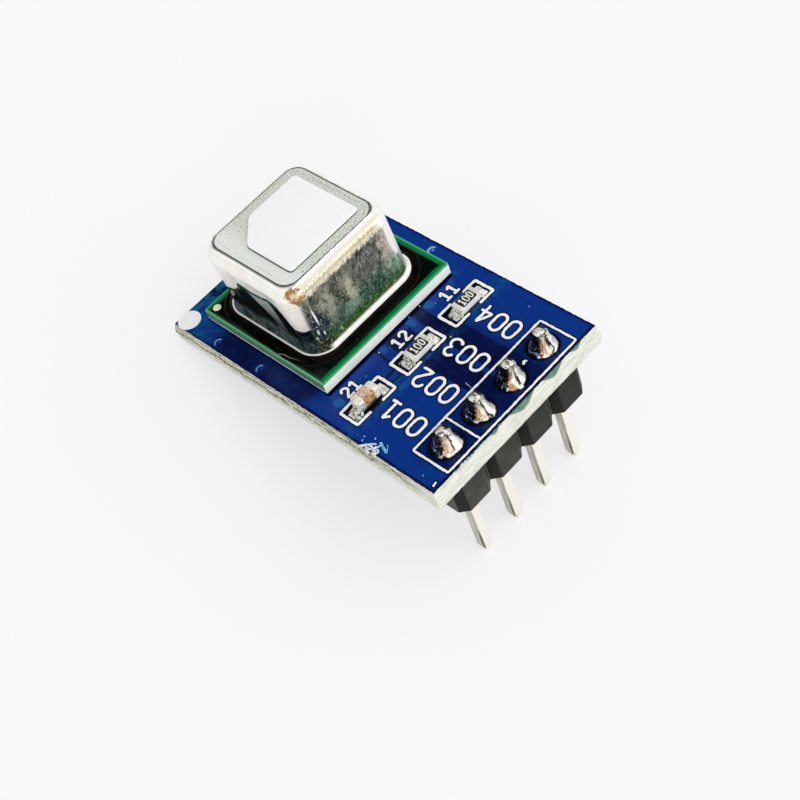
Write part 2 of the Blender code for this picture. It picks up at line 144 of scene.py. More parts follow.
def bump_at(value, middle, width):
    """Bell of height 1: exp(-((value - middle) / width)^2)."""
    return np.exp(-(((value - middle) / width) ** 2))


def grid_quads(rows, columns, wrap_rows, wrap_columns):
    """Corner numbers of a grid whose point (i, j) has the number i * columns + j."""
    i = np.arange(rows if wrap_rows else rows - 1)
    j = np.arange(columns if wrap_columns else columns - 1)
    i, j = np.meshgrid(i, j, indexing="ij")
    right = (j + 1) % columns
    above = (i + 1) % rows
    corners = [i * columns + j, i * columns + right, above * columns + right, above * columns + j]
    return np.stack(corners, -1).reshape(-1, 4)


def volume_sign(points, quads, caps):
    """Sign of the enclosed volume: the sum of p . (q x r) over the faces' triangles."""
    p, q, r, s = (points[quads[:, k]] for k in range(4))
    total = np.einsum("ij,ij->i", p, np.cross(q, r)).sum()
    total += np.einsum("ij,ij->i", p, np.cross(r, s)).sum()
    for cap in caps:
        ring = points[cap]
        total += np.einsum("j,ij->i", ring[0], np.cross(ring[1:-1], ring[2:])).sum()
    return total


class Skin:
    """Collects closed surfaces into one mesh, each turned so that its faces look outwards."""

    def __init__(self):
        self.points = []
        self.faces = []
        self.finishes = []
        self.values = []
        self.count = 0

    def add(self, points, quads, caps=(), finish=0, value=None):
        """A closed surface of quads and many-cornered caps; finish is its material's number."""
        middle = points.mean(0)
        if volume_sign(points - middle, quads, caps) < 0:
            quads = quads[:, ::-1]
            caps = [cap[::-1] for cap in caps]
        self.points.append(points)
        self.faces.append((quads + self.count, [cap + self.count for cap in caps]))
        self.finishes.append(np.full(len(quads) + len(caps), finish))
        self.values.append(np.zeros(len(points)) if value is None else value)
        self.count += len(points)

    def add_rings(self, rings, looped=False, finish=0):
        """Rings of equal count; looped joins the last to the first, else both ends are capped."""
        rows, columns = rings.shape[:2]
        quads = grid_quads(rows, columns, looped, True)
        caps = []
        if not looped:
            caps = [np.arange(columns)[::-1], np.arange(columns) + (rows - 1) * columns]
        self.add(rings.reshape(-1, 3), quads, caps, finish)

    def add_slab(self, top, depth, finish=0, value=None):
        """A grid of top points closed by a skirt down to depth and one face below."""
        rows, columns = top.shape[:2]
        index = np.arange(rows * columns).reshape(rows, columns)
        rim = np.concatenate([index[0, :-1], index[:-1, -1], index[-1, :0:-1], index[:0:-1, 0]])
        flat = top.reshape(-1, 3)
        low = flat[rim].copy()
        low[:, 2] = depth
        below = np.arange(len(rim)) + len(flat)
        skirt = np.stack([rim, below, np.roll(below, -1), np.roll(rim, -1)], -1)
        quads = np.concatenate([grid_quads(rows, columns, False, False), skirt])
        if value is not None:
            value = np.concatenate([value.ravel(), value.ravel()[rim]])
        self.add(np.concatenate([flat, low]), quads, [below[::-1]], finish, value)

    def piece(self, name, materials, slot, replaces=(), sharp=35.0, attribute=None):
        """One mesh object at the origin, with its place in its mesh, riding on the body."""
        points = to_world(np.concatenate(self.points))
        corners = []
        sizes = []
        for group, caps in self.faces:
            corners.append(group.ravel())
            sizes.append(np.full(len(group), 4))
            for cap in caps:
                corners.append(cap)
                sizes.append([len(cap)])
        corners = np.concatenate(corners).astype(np.int32)
        sizes = np.concatenate(sizes).astype(np.int32)
        mesh = bpy.data.meshes.new(name)
        mesh.vertices.add(len(points))
        mesh.vertices.foreach_set("co", points.astype(np.float32).ravel())
        mesh.loops.add(len(corners))
        mesh.loops.foreach_set("vertex_index", corners)
        mesh.polygons.add(len(sizes))
        mesh.polygons.foreach_set("loop_start", (np.cumsum(sizes) - sizes).astype(np.int32))
        for material in materials:
            mesh.materials.append(material)
        mesh.polygons.foreach_set("material_index", np.concatenate(self.finishes).astype(np.int32))
        mesh.update(calc_edges=True)
        mesh.shade_smooth()
        mesh.set_sharp_from_angle(angle=math.radians(sharp))
        if attribute:
            layer = mesh.attributes.new(attribute, "FLOAT", "POINT")
            layer.data.foreach_set("value", np.concatenate(self.values).astype(np.float32))
        obj = bpy.data.objects.new(name, mesh)
        bpy.context.scene.collection.objects.link(obj)
        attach(obj, "root")
        if replaces:
            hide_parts(*replaces)


def square_turn(side_steps, corner_steps):
    """Once round a rounded square, as corner signs (px, py) and outward normal (nx, ny).

    A ring of half-size h and corner radius r is x = (h - r) px + r nx, and y likewise.
    """
    corners = np.array([[1, 1], [-1, 1], [-1, -1], [1, -1]], float)
    signs = []
    angles = []
    for index in range(4):
        here = corners[index]
        following = corners[(index + 1) % 4]
        arc = np.arange(corner_steps) / corner_steps
        side = np.arange(side_steps) / side_steps
        signs.append(np.tile(here, (corner_steps, 1)))
        signs.append(here + (following - here) * side[:, None])
        angles.append((index + arc) * math.pi / 2)
        angles.append(np.full(side_steps, (index + 1) * math.pi / 2))
    signs = np.concatenate(signs)
    angles = np.concatenate(angles)
    return signs[:, 0], signs[:, 1], np.cos(angles), np.sin(angles)


def square_rings(turn, half_x, half_y, radius, height, middle=(0, 0)):
    """Rings of rounded rectangles: one row for each entry of the profile's arrays."""
    px, py, nx, ny = turn
    profile = np.broadcast_arrays(half_x, half_y, radius, height)
    half_x, half_y, radius, height = (np.atleast_1d(np.asarray(v, float))[:, None] for v in profile)
    x = middle[0] + (half_x - radius) * px + radius * nx
    y = middle[1] + (half_y - radius) * py + radius * ny
    return np.stack([x, y, np.broadcast_to(height, x.shape)], -1)


def soft_profile(low, high, edge, steps=4):
    """Insets and heights of a wall from low to high whose two edges are quarter rounds."""
    turn = np.linspace(0, math.pi / 2, steps + 1)
    inset = np.concatenate([edge * (1 - np.sin(turn)), edge * (1 - np.cos(turn))])
    height = np.concatenate([low + edge * (1 - np.cos(turn)), high - edge * (1 - np.sin(turn))])
    return inset, height


def soft_box(skin, middle, size, low, high, edge, radius, finish=0, turn=None):
    """Rounded box: rings of rounded rectangles, drawn in by the soft profile's insets."""
    turn = turn or square_turn(6, 4)
    inset, height = soft_profile(low, high, edge)
    rings = square_rings(
        turn, size[0] / 2 - inset, size[1] / 2 - inset, np.maximum(radius - inset, 0.3 * edge), height, middle
    )
    skin.add_rings(rings, finish=finish)


def even_path(path, spacing, closed):
    """Path of equal steps: each point is interpolated by the length run so far."""
    path = np.asarray(path, float)
    if closed:
        path = np.concatenate([path, path[:1]])
    run = np.concatenate([[0], np.cumsum(np.hypot(*np.diff(path, axis=0).T))])
    count = max(4, int(round(run[-1] / spacing)))
    at = np.linspace(0, run[-1], count + 1)
    even = np.stack([np.interp(at, run, path[:, 0]), np.interp(at, run, path[:, 1])], -1)
    return even[:-1] if closed else even


def rounded_path(path, spacing, passes, closed):
    """Even path whose corners are rounded: each pass averages a point with its neighbours."""
    even = even_path(path, spacing, closed)
    for _ in range(passes):
        mean = (np.roll(even, 1, 0) + 2 * even + np.roll(even, -1, 0)) / 4
        if not closed:
            mean[0] = even[0]
            mean[-1] = even[-1]
        even = mean
    return even


def path_normals(path, closed):
    """Unit normals to the left of a path, from the difference of its neighbours."""
    if closed:
        along = np.roll(path, -1, 0) - np.roll(path, 1, 0)
    else:
        along = np.gradient(path, axis=0)
    along /= np.maximum(np.hypot(*along.T), 1e-9)[:, None]
    return np.stack([-along[:, 1], along[:, 0]], -1)


def prism(skin, outline, low, high, edge, finish=0, bulge=0.0):
    """Plate on a closed outline: its rings move along the outline's normals by the insets."""
    inset, height = soft_profile(low, high, edge)
    inward = path_normals(outline, True)
    area = np.sum(outline[:, 0] * np.roll(outline[:, 1], -1) - outline[:, 1] * np.roll(outline[:, 0], -1))
    if area < 0:
        inward = -inward
    flat = outline[None] + inward[None] * inset[:, None, None]
    lift = np.broadcast_to(height[:, None, None], flat.shape[:2] + (1,))
    rings = np.concatenate([flat, lift], -1)
    if bulge:
        middle = outline.mean(0)
        steps = np.linspace(0.8, 0.05, 6)
        dome = middle + (flat[-1] - middle) * steps[:, None, None]
        rise = high + bulge * (1 - steps**2)
        rise = np.broadcast_to(rise[:, None, None], dome.shape[:2] + (1,))
        rings = np.concatenate([rings, np.concatenate([dome, rise], -1)])
    skin.add_rings(rings, finish=finish)


def stroke(skin, path, width, low, height, closed=False, seed=0, finish=0, wobble=0.012):
    """Ink line: a domed section carried along a path, with half-round ends.

    Half the width at run s is w sqrt(1 - (1 - s / w)^2) within w of an end, w = width / 2,
    and noise moves both rims by the wobble.
    """
    half = width / 2
    path = rounded_path(path, 0.05, 2, closed)
    if not closed:
        start = path[0] - path[1]
        stop = path[-1] - path[-2]
        start /= np.hypot(*start)
        stop /= np.hypot(*stop)
        cap = half * (1 - np.cos(np.linspace(0, math.pi / 2, 5)[:-1]))
        lead = path[0] + start * (half - cap)[:, None]
        tail = path[-1] + stop * (half - cap[::-1])[:, None]
        path = np.concatenate([lead, path, tail])
    run = np.concatenate([[0], np.cumsum(np.hypot(*np.diff(path, axis=0).T))])
    wide = np.full(len(path), half)
    if not closed:
        ends = np.minimum(run, run[-1] - run)
        wide = half * np.sqrt(np.clip(1 - (1 - np.minimum(ends / half, 1)) ** 2, 0.003, 1))
    across = np.array([-1, -0.93, -0.7, 0, 0.7, 0.93, 1])
    rise = np.array([0, 0.7, 0.97, 1, 0.97, 0.7, 0])
    rough = wobble * drift(run * 7, 0, seed) * np.minimum(wide / half, 1)
    lean = wobble * drift(run * 5, 9, seed)
    sides = path_normals(path, closed)
    offset = across[None] * (wide + rough)[:, None] + lean[:, None]
    flat = path[:, None] + sides[:, None] * offset[..., None]
    lift = low + height * rise[None] * (0.6 + 0.4 * wide / half)[:, None]
    skin.add_rings(np.concatenate([flat, lift[..., None]], -1), looped=closed, finish=finish)


def arc_path(middle, radius, start, stop, steps=14):
    """Points of an ellipse's arc from one angle to another, in degrees."""
    angle = np.radians(np.linspace(start, stop, steps))
    return np.stack([middle[0] + radius[0] * np.cos(angle), middle[1] + radius[1] * np.sin(angle)], -1)


def digit_paths(digit):
    """Strokes of a plain digit in a box 0.6 wide and 1 high."""
    if digit == "0":
        top = arc_path((0.3, 0.7), (0.3, 0.3), 0, 180)
        foot = arc_path((0.3, 0.3), (0.3, 0.3), 180, 360)
        return [(np.concatenate([top, foot]), True)]
    if digit == "1":
        stem = np.array([[0.08, 0.78], [0.32, 1], [0.32, 0]])
        foot = np.array([[0.1, 0], [0.54, 0]])
        return [(stem, False), (foot, False)]
    if digit == "2":
        bowl = arc_path((0.3, 0.72), (0.29, 0.28), 165, -28)
        return [(np.concatenate([bowl, [[0.02, 0], [0.6, 0]]]), False)]
    if digit == "3":
        upper = arc_path((0.28, 0.76), (0.27, 0.24), 150, -80)
        lower = arc_path((0.28, 0.27), (0.31, 0.27), 80, -150)
        return [(np.concatenate([upper, lower]), False)]
    return [(np.array([[0.44, 0], [0.44, 1], [0.0, 0.32], [0.62, 0.32]]), False)]


def write_number(skin, text, corner, along, up, cap, width, step, ink, low, height, seed=0, finish=0):
    """Digits in a row: (u, v) of a digit's box goes to corner + u width along + v cap up."""
    along = np.array(along, float)
    up = np.array(up, float)
    for index, digit in enumerate(text):
        start = np.array(corner) + along * step * index
        for path, closed in digit_paths(digit):
            place = start + path[:, :1] * (width / 0.6) * along + path[:, 1:] * cap * up
            stroke(skin, place, ink, low, height, closed, seed + index, finish)


class Signal:
    """A shader socket, wrapped so that an expression on it adds its Math nodes."""

    def __init__(self, sheet, socket):
        self.sheet = sheet
        self.socket = socket

    def math(self, operation, first, second=None):
        """A Math node on one or two signals or numbers."""
        sockets = {0: first} if second is None else {0: first, 1: second}
        return self.sheet.node("ShaderNodeMath", {"operation": operation}, sockets)

    def __add__(self, other):
        return self.math("ADD", self, other)

    def __radd__(self, other):
        return self.math("ADD", other, self)

    def __sub__(self, other):
        return self.math("SUBTRACT", self, other)

    def __rsub__(self, other):
        return self.math("SUBTRACT", other, self)

    def __mul__(self, other):
        return self.math("MULTIPLY", self, other)

    def __rmul__(self, other):
        return self.math("MULTIPLY", other, self)

    def __truediv__(self, other):
        return self.math("DIVIDE", self, other)

    def __pow__(self, other):
        return self.math("POWER", self, other)

    def __neg__(self):
        return self.math("MULTIPLY", self, -1.0)

    def __abs__(self):
        return self.math("ABSOLUTE", self)

    def least(self, other):
        return self.math("MINIMUM", self, other)

    def most(self, other):
        return self.math("MAXIMUM", self, other)

    def ease(self, low, high):
        """0 below low, 1 above high, smooth between; low may be the greater."""
        settings = {"interpolation_type": "SMOOTHSTEP"}
        sockets = {"Value": self, "From Min": low, "From Max": high}
        return self.sheet.node("ShaderNodeMapRange", settings, sockets)

    def bell(self, middle, width):
        """Smooth 0 to 1 to 0 over width on both sides of middle."""
        return abs(self - middle).ease(width, 0.0)


class Sheet:
    """One material's nodes. node() adds any node, and Signals carry what it gives."""

    def __init__(self, name, tree=None):
        if tree is None:
            self.material = bpy.data.materials.new(name)
            self.material.use_nodes = True
            tree = self.material.node_tree
        self.tree = tree
        self.tree.nodes.clear()

    def node(self, kind, settings=None, sockets=None, output=0):
        """Adds a node: its settings first, a ramp's stops among them, then its sockets."""
        node = self.tree.nodes.new(kind)
        for key, value in (settings or {}).items():
            if key == "stops":
                self.set_stops(node.color_ramp, value)
            else:
                setattr(node, key, value)
        for key, value in (sockets or {}).items():
            self.feed(node.inputs[key], value)
        return Signal(self, node.outputs[output]) if node.outputs else None

    def set_stops(self, ramp, stops):
        """Gives a ramp its stops, each a position and a colour."""
        while len(ramp.elements) < len(stops):
            ramp.elements.new(0.5)
        for element, (position, colour) in zip(ramp.elements, stops):
            element.position = position
            element.color = (*colour, 1)

    def feed(self, socket, value):
        """Links a Signal to a socket, or sets a constant on it."""
        if isinstance(value, Signal):
            self.tree.links.new(value.socket, socket)
        elif isinstance(value, tuple) and len(value) == 3 and socket.type == "RGBA":
            socket.default_value = (*value, 1)
        else:
            socket.default_value = value

    def board_place(self):
        """Object coordinates turned back to board millimetres."""
        world = self.node("ShaderNodeTexCoord", output="Object")
        back = Matrix.Rotation(TILT, 3, "X") @ Vector(ORIGIN) / MM
        return self.node(
            "ShaderNodeMapping",
            {"vector_type": "POINT"},
            {"Vector": world, "Location": -back, "Rotation": (TILT, 0, 0), "Scale": (1 / MM, 1 / MM, 1 / MM)},
        )

    def axes(self, place):
        """The place's x, y and z."""
        split = self.node("ShaderNodeSeparateXYZ", sockets={0: place})
        return split, Signal(self, split.socket.node.outputs[1]), Signal(self, split.socket.node.outputs[2])

    def column(self, x):
        """x measured from the nearest pin of the row."""
        half = PITCH / 2
        return self.node("ShaderNodeMath", {"operation": "WRAP"}, {0: x + half, 1: half, 2: -half})

    def stretch(self, place, factors):
        """The place with each axis multiplied by its factor; noise is finer along a greater one."""
        return self.node("ShaderNodeVectorMath", {"operation": "MULTIPLY"}, {0: place, 1: factors})

    def noise(self, place, scale, detail=3.0, roughness=0.55, distortion=0.0):
        """Smooth noise from 0 to 1, finer with a greater scale."""
        sockets = {
            "Vector": place,
            "Scale": scale,
            "Detail": detail,
            "Roughness": roughness,
            "Distortion": distortion,
        }
        return self.node("ShaderNodeTexNoise", {"noise_dimensions": "3D"}, sockets)

    def specks(self, place, scale, size):
        """1 in small spots round the cells' points: the Voronoi distance below size."""
        sockets = {"Vector": place, "Scale": scale, "Randomness": 1.0}
        spots = self.node("ShaderNodeTexVoronoi", {"feature": "F1"}, sockets, "Distance")
        return spots.ease(size, size * 0.4)

    def blend(self, factor, first, second):
        """The first colour at factor 0 and the second at factor 1."""
        return self.node("ShaderNodeMix", {"data_type": "RGBA"}, {0: factor, 6: first, 7: second}, output=2)

    def ramp(self, value, stops):
        """The colour that the stops give at a value."""
        return self.node("ShaderNodeValToRGB", {"stops": stops}, {0: value})

    def relief(self, height, depth, strength):
        """Bump of a height signal, depth in millimetres."""
        sockets = {"Strength": strength, "Distance": depth * MM, "Height": height}
        return self.node("ShaderNodeBump", sockets=sockets)

    def finish(self, **sockets):
        """Principled shader whose sockets are named in words joined by underscores."""
        shader = self.node("ShaderNodeBsdfPrincipled")
        for key, value in sockets.items():
            self.feed(shader.socket.node.inputs[key.replace("_", " ")], value)
        self.node("ShaderNodeOutputMaterial", sockets={0: shader})
        return self.material


def mask_finish(look):
    """Blue solder mask: black round the pads and in painted shade, navy on bare laminate, brighter over
    copper, with painted highlights on the via rings.
    """
    sheet = Sheet("blue_mask")
    place = sheet.board_place()
    _, y, _ = sheet.axes(place)
    copper = sheet.node("ShaderNodeAttribute", {"attribute_name": "copper"}, output="Fac")
    cloud = sheet.noise(place, 0.32, 2.0)
    mottle = sheet.noise(place, 2.2, 4.0, 0.6)
    tone = (copper * 0.85 + cloud.ease(0.35, 0.75) * 0.25 + (mottle - 0.5) * 0.6).ease(0.0, 1.0)
    colour = sheet.blend(tone, tuple(look.bare_blue), tuple(look.copper_blue))
    teal = (y.ease(15.5, 19.0) * 0.9 + (5.0 - y).bell(0.0, 0.9) * 0.4) * mottle.ease(0.38, 0.66)
    colour = sheet.blend(teal, colour, (0.004, 0.12, 0.26))
    # Black where the map is below 0: pad openings and painted shade
    colour = sheet.blend(copper.ease(-0.1, -0.9), colour, (0.001, 0.002, 0.006))
    colour = sheet.blend(copper.ease(1.05, 1.5) * 0.85, colour, (0.004, 0.11, 0.34))
    # Painted highlights on the via rings
    colour = sheet.blend(copper.ease(1.7, 2.3), colour, (0.3, 0.42, 0.72))
    dust = sheet.specks(place, 1.7, 0.055).most(sheet.specks(place, 3.7, 0.06) * 0.8)
    colour = sheet.blend(dust * mottle.ease(0.42, 0.6) * 0.8, colour, (0.16, 0.4, 0.78))
    across = sheet.noise(sheet.stretch(place, (1.0, 6.0, 1.0)), 1.2)
    along = sheet.noise(sheet.stretch(place, (6.0, 1.0, 1.0)), 1.2)
    grain = sheet.noise(place, 9.0, 3.0)
    return sheet.finish(
        Base_Color=colour,
        Roughness=0.16 + mottle * 0.12,
        Specular_IOR_Level=0.2,
        Normal=sheet.relief((across + along) * 0.7 + grain * 0.3, 0.01, 0.5),
    )


def laminate_finish():
    """Broken glass-fibre laminate: cream, with torn khaki sides and a green near edge.

    On the near edge four bells along x hang down from the top face. It is green where z plus
    the greatest bell is above 0.
    """
    sheet = Sheet("broken_laminate")
    place = sheet.board_place()
    x, y, z = sheet.axes(place)
    fibre = sheet.noise(sheet.stretch(place, (0.7, 0.7, 9.0)), 1.6, 5.0, 0.65)
    pits = sheet.noise(sheet.stretch(place, (1.5, 1.5, 4.0)), 2.1, 4.0, 0.7)
    fleck = sheet.noise(sheet.stretch(place, (3.0, 3.0, 6.0)), 1.3, 4.0, 0.7)
    long_side = abs(x).ease(6.25, 6.42)
    pale = sheet.blend(fibre.ease(0.3, 0.7), (0.68, 0.69, 0.58), (0.9, 0.9, 0.83))
    pale = sheet.blend(fleck.ease(0.56, 0.7) * 0.5, pale, (0.45, 0.46, 0.4))
    near = y.ease(-1.2, -1.4)
    # The near face is painted duller: a painted shade
    near_face_shade = sheet.blend(fibre.ease(0.35, 0.6), (0.55, 0.56, 0.48), (0.8, 0.81, 0.73))
    pale = sheet.blend(near * 0.6, pale, near_face_shade)
    khaki = sheet.blend(fleck.ease(0.4, 0.62), (0.1, 0.105, 0.06), (0.5, 0.49, 0.36))
    khaki = sheet.blend(fibre.ease(0.5, 0.62), khaki, (0.86, 0.84, 0.7))
    torn = long_side * (z + 0.42 + (pits - 0.5) * 0.5).bell(0.0, 0.55) * y.ease(-1.3, 1.5)
    foot = long_side * (z + 1.35).bell(0.0, 0.2) * pits.ease(0.4, 0.6) * 0.5
    colour = sheet.blend((torn * 1.3).least(1.0).most(foot), pale, khaki)
    rag = (z + 0.3 + (sheet.noise(place, 1.1, 3.0) - 0.5) * 0.45).bell(0.0, 0.05) * long_side
    colour = sheet.blend(rag * pits.ease(0.4, 0.5), colour, (0.95, 0.92, 0.78))

    lens = x.bell(0.4, 1.5) * 0.56
    lens = lens.most(x.bell(2.85, 1.25) * 0.5).most(x.bell(-1.75, 0.7) * 0.3).most(x.bell(4.75, 0.8) * 0.34)
    depth = z + lens + (fleck - 0.5) * 0.06 - 0.05
    moss = sheet.blend(fleck.ease(0.35, 0.65), (0.03, 0.13, 0.09), (0.12, 0.24, 0.15))
    moss = sheet.blend(depth.ease(0.12, 0.0) * 0.6, moss, (0.4, 0.42, 0.24))
    colour = sheet.blend(near * depth.ease(0.0, 0.04) * lens.ease(0.05, 0.1) * 0.92, colour, moss)
    jag = sheet.noise(place, 6.5, 2.0).ease(0.46, 0.54)
    run = (x + 5.2).ease(0.0, 0.5) * (-0.9 - x).ease(0.0, 0.5)
    colour = sheet.blend(jag * z.ease(-0.2, -0.04) * near * run, colour, (0.02, 0.16, 0.2))
    colour = sheet.blend(z.ease(-1.5, -1.58) * 0.6, colour, (0.3, 0.3, 0.28))
    return sheet.finish(
        Base_Color=colour,
        Roughness=0.55 + fibre * 0.2,
        Specular_IOR_Level=0.35,
        Normal=sheet.relief(fibre + pits * 0.6, 0.05, 0.8),
    )


def ink_finish():
    """White print: slightly uneven, thinner at its edges."""
    sheet = Sheet("white_ink")
    place = sheet.board_place()
    grain = sheet.noise(place, 14.0, 3.0)
    patch = sheet.noise(place, 3.0, 3.0)
    colour = sheet.blend(patch.ease(0.3, 0.7), (0.93, 0.95, 0.98), (0.99, 0.99, 0.99))
    relief = sheet.relief(grain, 0.01, 0.6)
    return sheet.finish(Base_Color=colour, Roughness=0.45 + grain * 0.2, Normal=relief)


def print_shadow_finish():
    """Dark painted shadow round the print, beside the ink."""
    sheet = Sheet("painted_print_shadow")
    place = sheet.board_place()
    grain = sheet.noise(place, 6.0, 3.0)
    colour = sheet.blend(grain.ease(0.35, 0.65), (0.0002, 0.0012, 0.014), (0.0004, 0.003, 0.032))
    return sheet.finish(Base_Color=colour, Roughness=0.25 + grain * 0.2, Specular_IOR_Level=0.1)


def solder_finish(look):
    """Flowed solder, its look painted by the angle round each pin: a painted dark reflection with thin
    light arcs on the left, a painted cream reflection and a brown streak in front, a painted highlight on the
    right flank.

    The angle round each pin picks the streak, noise bends it, and z ends it.
    """
    sheet = Sheet("flowed_solder")
    place = sheet.board_place()
    x, y, z = sheet.axes(place)
    column = sheet.column(x)
    swirl = sheet.noise(place, 1.4, 3.0, 0.5, 0.8)
    frost = sheet.noise(place, 5.0, 4.0, 0.65)
    sweep = sheet.noise(sheet.stretch(place, (1.0, 1.0, 0.6)), 1.9, 1.0, 0.5, 0.6)
    angle = column.math("ARCTAN2", y, column) + (swirl - 0.5) * 1.1
    height = z + (frost - 0.5) * 0.2
    radius = (column * column + y * y) ** 0.5 + (sweep - 0.5) * 0.5
    # A painted dark reflection, with thin painted light arcs
    reflected_arcs = radius.bell(0.74, 0.045).most(radius.bell(0.58, 0.03) * 0.7) * frost.ease(0.4, 0.5)
    colour = sheet.blend(reflected_arcs * 0.85, (0.002, 0.003, 0.012), (0.6, 0.64, 0.74))
    back = angle.ease(0.6, 1.0) * angle.ease(2.5, 2.1)
    frosted = sheet.blend(frost.ease(0.35, 0.65), (0.3, 0.31, 0.33), (0.72, 0.72, 0.7))
    colour = sheet.blend(back, colour, frosted)
    # Painted highlight on the right flank
    painted_flank = angle.ease(-1.5, -1.36) * (angle + radius * 0.5).ease(0.1, -0.25)
    grey = frost.ease(0.62, 0.5) * 0.3 + 0.7
    white = sheet.blend(grey, (0.4, 0.42, 0.46), tuple(look.solder_highlight))
    colour = sheet.blend(painted_flank, colour, white)
    # Painted cream reflection down the front
    cream = angle.bell(-1.98, 0.5) * height.ease(0.0, 0.15)
    cream_reflection = sheet.blend(frost.ease(0.4, 0.62), (0.95, 0.9, 0.76), (0.62, 0.46, 0.24))
    colour = sheet.blend((cream * 1.6).least(1.0), colour, cream_reflection)
    # An amber streak down the front
    front_streak = (angle + (frost - 0.5) * 0.5).bell(-2.36, 0.17) * height.ease(0.02, 0.12) * height.ease(0.95, 0.55)
    amber = sheet.blend(frost.ease(0.42, 0.58), (0.3, 0.1, 0.03), (0.72, 0.38, 0.17))
    colour = sheet.blend((front_streak * 1.6).least(1.0), colour, amber)
    # Painted dark reflections of the folds
    reflected_folds = angle.bell(-2.64, 0.1).most(angle.bell(-2.14, 0.06) * 0.9).most(angle.bell(-1.52, 0.08))
    colour = sheet.blend(reflected_folds * height.ease(1.0, 0.8), colour, (0.012, 0.008, 0.008))
    neck = height.ease(0.86, 1.0) * frost.ease(0.52, 0.44)
    colour = sheet.blend(neck * 0.85, colour, (0.1, 0.09, 0.06))
    # Painted shade round the cone's foot
    foot_shade = height.ease(0.1, 0.02)
    colour = sheet.blend(foot_shade, colour, (0.006, 0.008, 0.014))
    crumbs = angle.ease(-2.8, -2.5) * angle.ease(-0.9, -1.2) * height.bell(0.09, 0.12) * swirl.ease(0.5, 0.54)
    colour = sheet.blend(crumbs, colour, (0.95, 0.93, 0.9))
    painted = front_streak.most(cream).most(painted_flank * 0.7).most(crumbs)
    return sheet.finish(
        Base_Color=colour,
        Metallic=0.9 - painted * 0.65,
        Roughness=0.12 + frost.ease(0.45, 0.75) * 0.2 + painted * 0.15,
        Normal=sheet.relief(frost * 0.6 + swirl, 0.05, 0.35),
    )


def pin_finish(look):
    """Tinned square wire: pale in front, khaki on the left as painted shade, a painted dark edge, painted
    shade below the header, and a brown cut end below.
    """
    sheet = Sheet("tinned_wire")
    place = sheet.board_place()
    x, y, z = sheet.axes(place)
    column = sheet.column(x)
    drawn = sheet.noise(sheet.stretch(place, (9.0, 9.0, 0.5)), 1.6, 4.0, 0.6)
    patch = sheet.noise(place, 1.3, 3.0)
    colour = sheet.blend(patch.ease(0.35, 0.7), tuple(look.pin_colour), (0.94, 0.91, 0.84))
    # Painted shade on the left face
    left = column.ease(-0.29, -0.315)
    khaki = sheet.blend(drawn.ease(0.35, 0.65), (0.5, 0.46, 0.36), (0.86, 0.82, 0.72))
    colour = sheet.blend(left, colour, khaki)
    # A painted dark edge down the left front corner, stronger towards the tip
    edge = column.ease(-0.24, -0.3) * y.ease(-0.1, -0.26)
    edge = edge * (drawn.ease(0.4, 0.55) * 0.4 + z.ease(-6.9, -8.6) * 0.75).least(1.0)
    colour = sheet.blend(edge, colour, (0.07, 0.06, 0.035))
    # Painted shade just below the header
    colour = sheet.blend(z.ease(-5.2, -4.1) * 0.45, colour, (0.4, 0.34, 0.26))
    tip = z.ease(-9.1, -9.6) * patch.ease(0.35, 0.55) * column.ease(0.1, -0.15)
    colour = sheet.blend(tip * 0.8, colour, (0.1, 0.08, 0.05))
    cap = z.ease(1.02, 1.1)
    lumps = sheet.noise(place, 5.0, 4.0, 0.7)
    crust = sheet.blend(lumps.ease(0.4, 0.54), (0.12, 0.11, 0.08), (0.92, 0.9, 0.82))
    colour = sheet.blend(cap, colour, crust)
    return sheet.finish(
        Base_Color=colour,
        Metallic=0.75 - cap * 0.45,
        Roughness=0.26 + drawn * 0.16 + cap * 0.15,
        Normal=sheet.relief(drawn + lumps * cap * 3.0, 0.02, 0.5),
    )


def nylon_finish():
    """Moulded black nylon: fine grain, faint flow marks, painted shade on the left flanks and towards the
    right, and painted highlights along the edges.
    """
    sheet = Sheet("black_nylon")
    place = sheet.board_place()
    x, _, _ = sheet.axes(place)
    column = sheet.column(x)
    grain = sheet.noise(place, 11.0, 4.0, 0.6)
    flow = sheet.noise(sheet.stretch(place, (0.8, 0.8, 2.2)), 0.9, 3.0)
    colour = sheet.blend(flow.ease(0.3, 0.75), (0.03, 0.03, 0.023), (0.058, 0.056, 0.043))
    # Darker towards the right: a painted shade
    colour = sheet.blend(x.ease(-4.6, 4.5) * 0.85, colour, (0.01, 0.01, 0.007))
    # Painted shade on the blocks' left flanks
    painted_flank = column.ease(-0.74, -0.82)
    colour = sheet.blend(painted_flank * 0.9, colour, (0.001, 0.001, 0.001))
    # Painted highlights along the blocks' edges
    line = abs(column).bell(1.26, 0.035) + column.bell(0.78, 0.03) * 0.6
    colour = sheet.blend(line.least(1.0) * grain.ease(0.3, 0.5) * 0.5, colour, (0.2, 0.2, 0.17))
    dust = sheet.specks(place, 2.4, 0.08)
    colour = sheet.blend(dust * 0.5, colour, (0.13, 0.13, 0.11))
    return sheet.finish(
        Base_Color=colour,
        Roughness=0.44 + grain * 0.22,
        Specular_IOR_Level=0.16,
        Normal=sheet.relief(grain, 0.02, 0.5),
    )


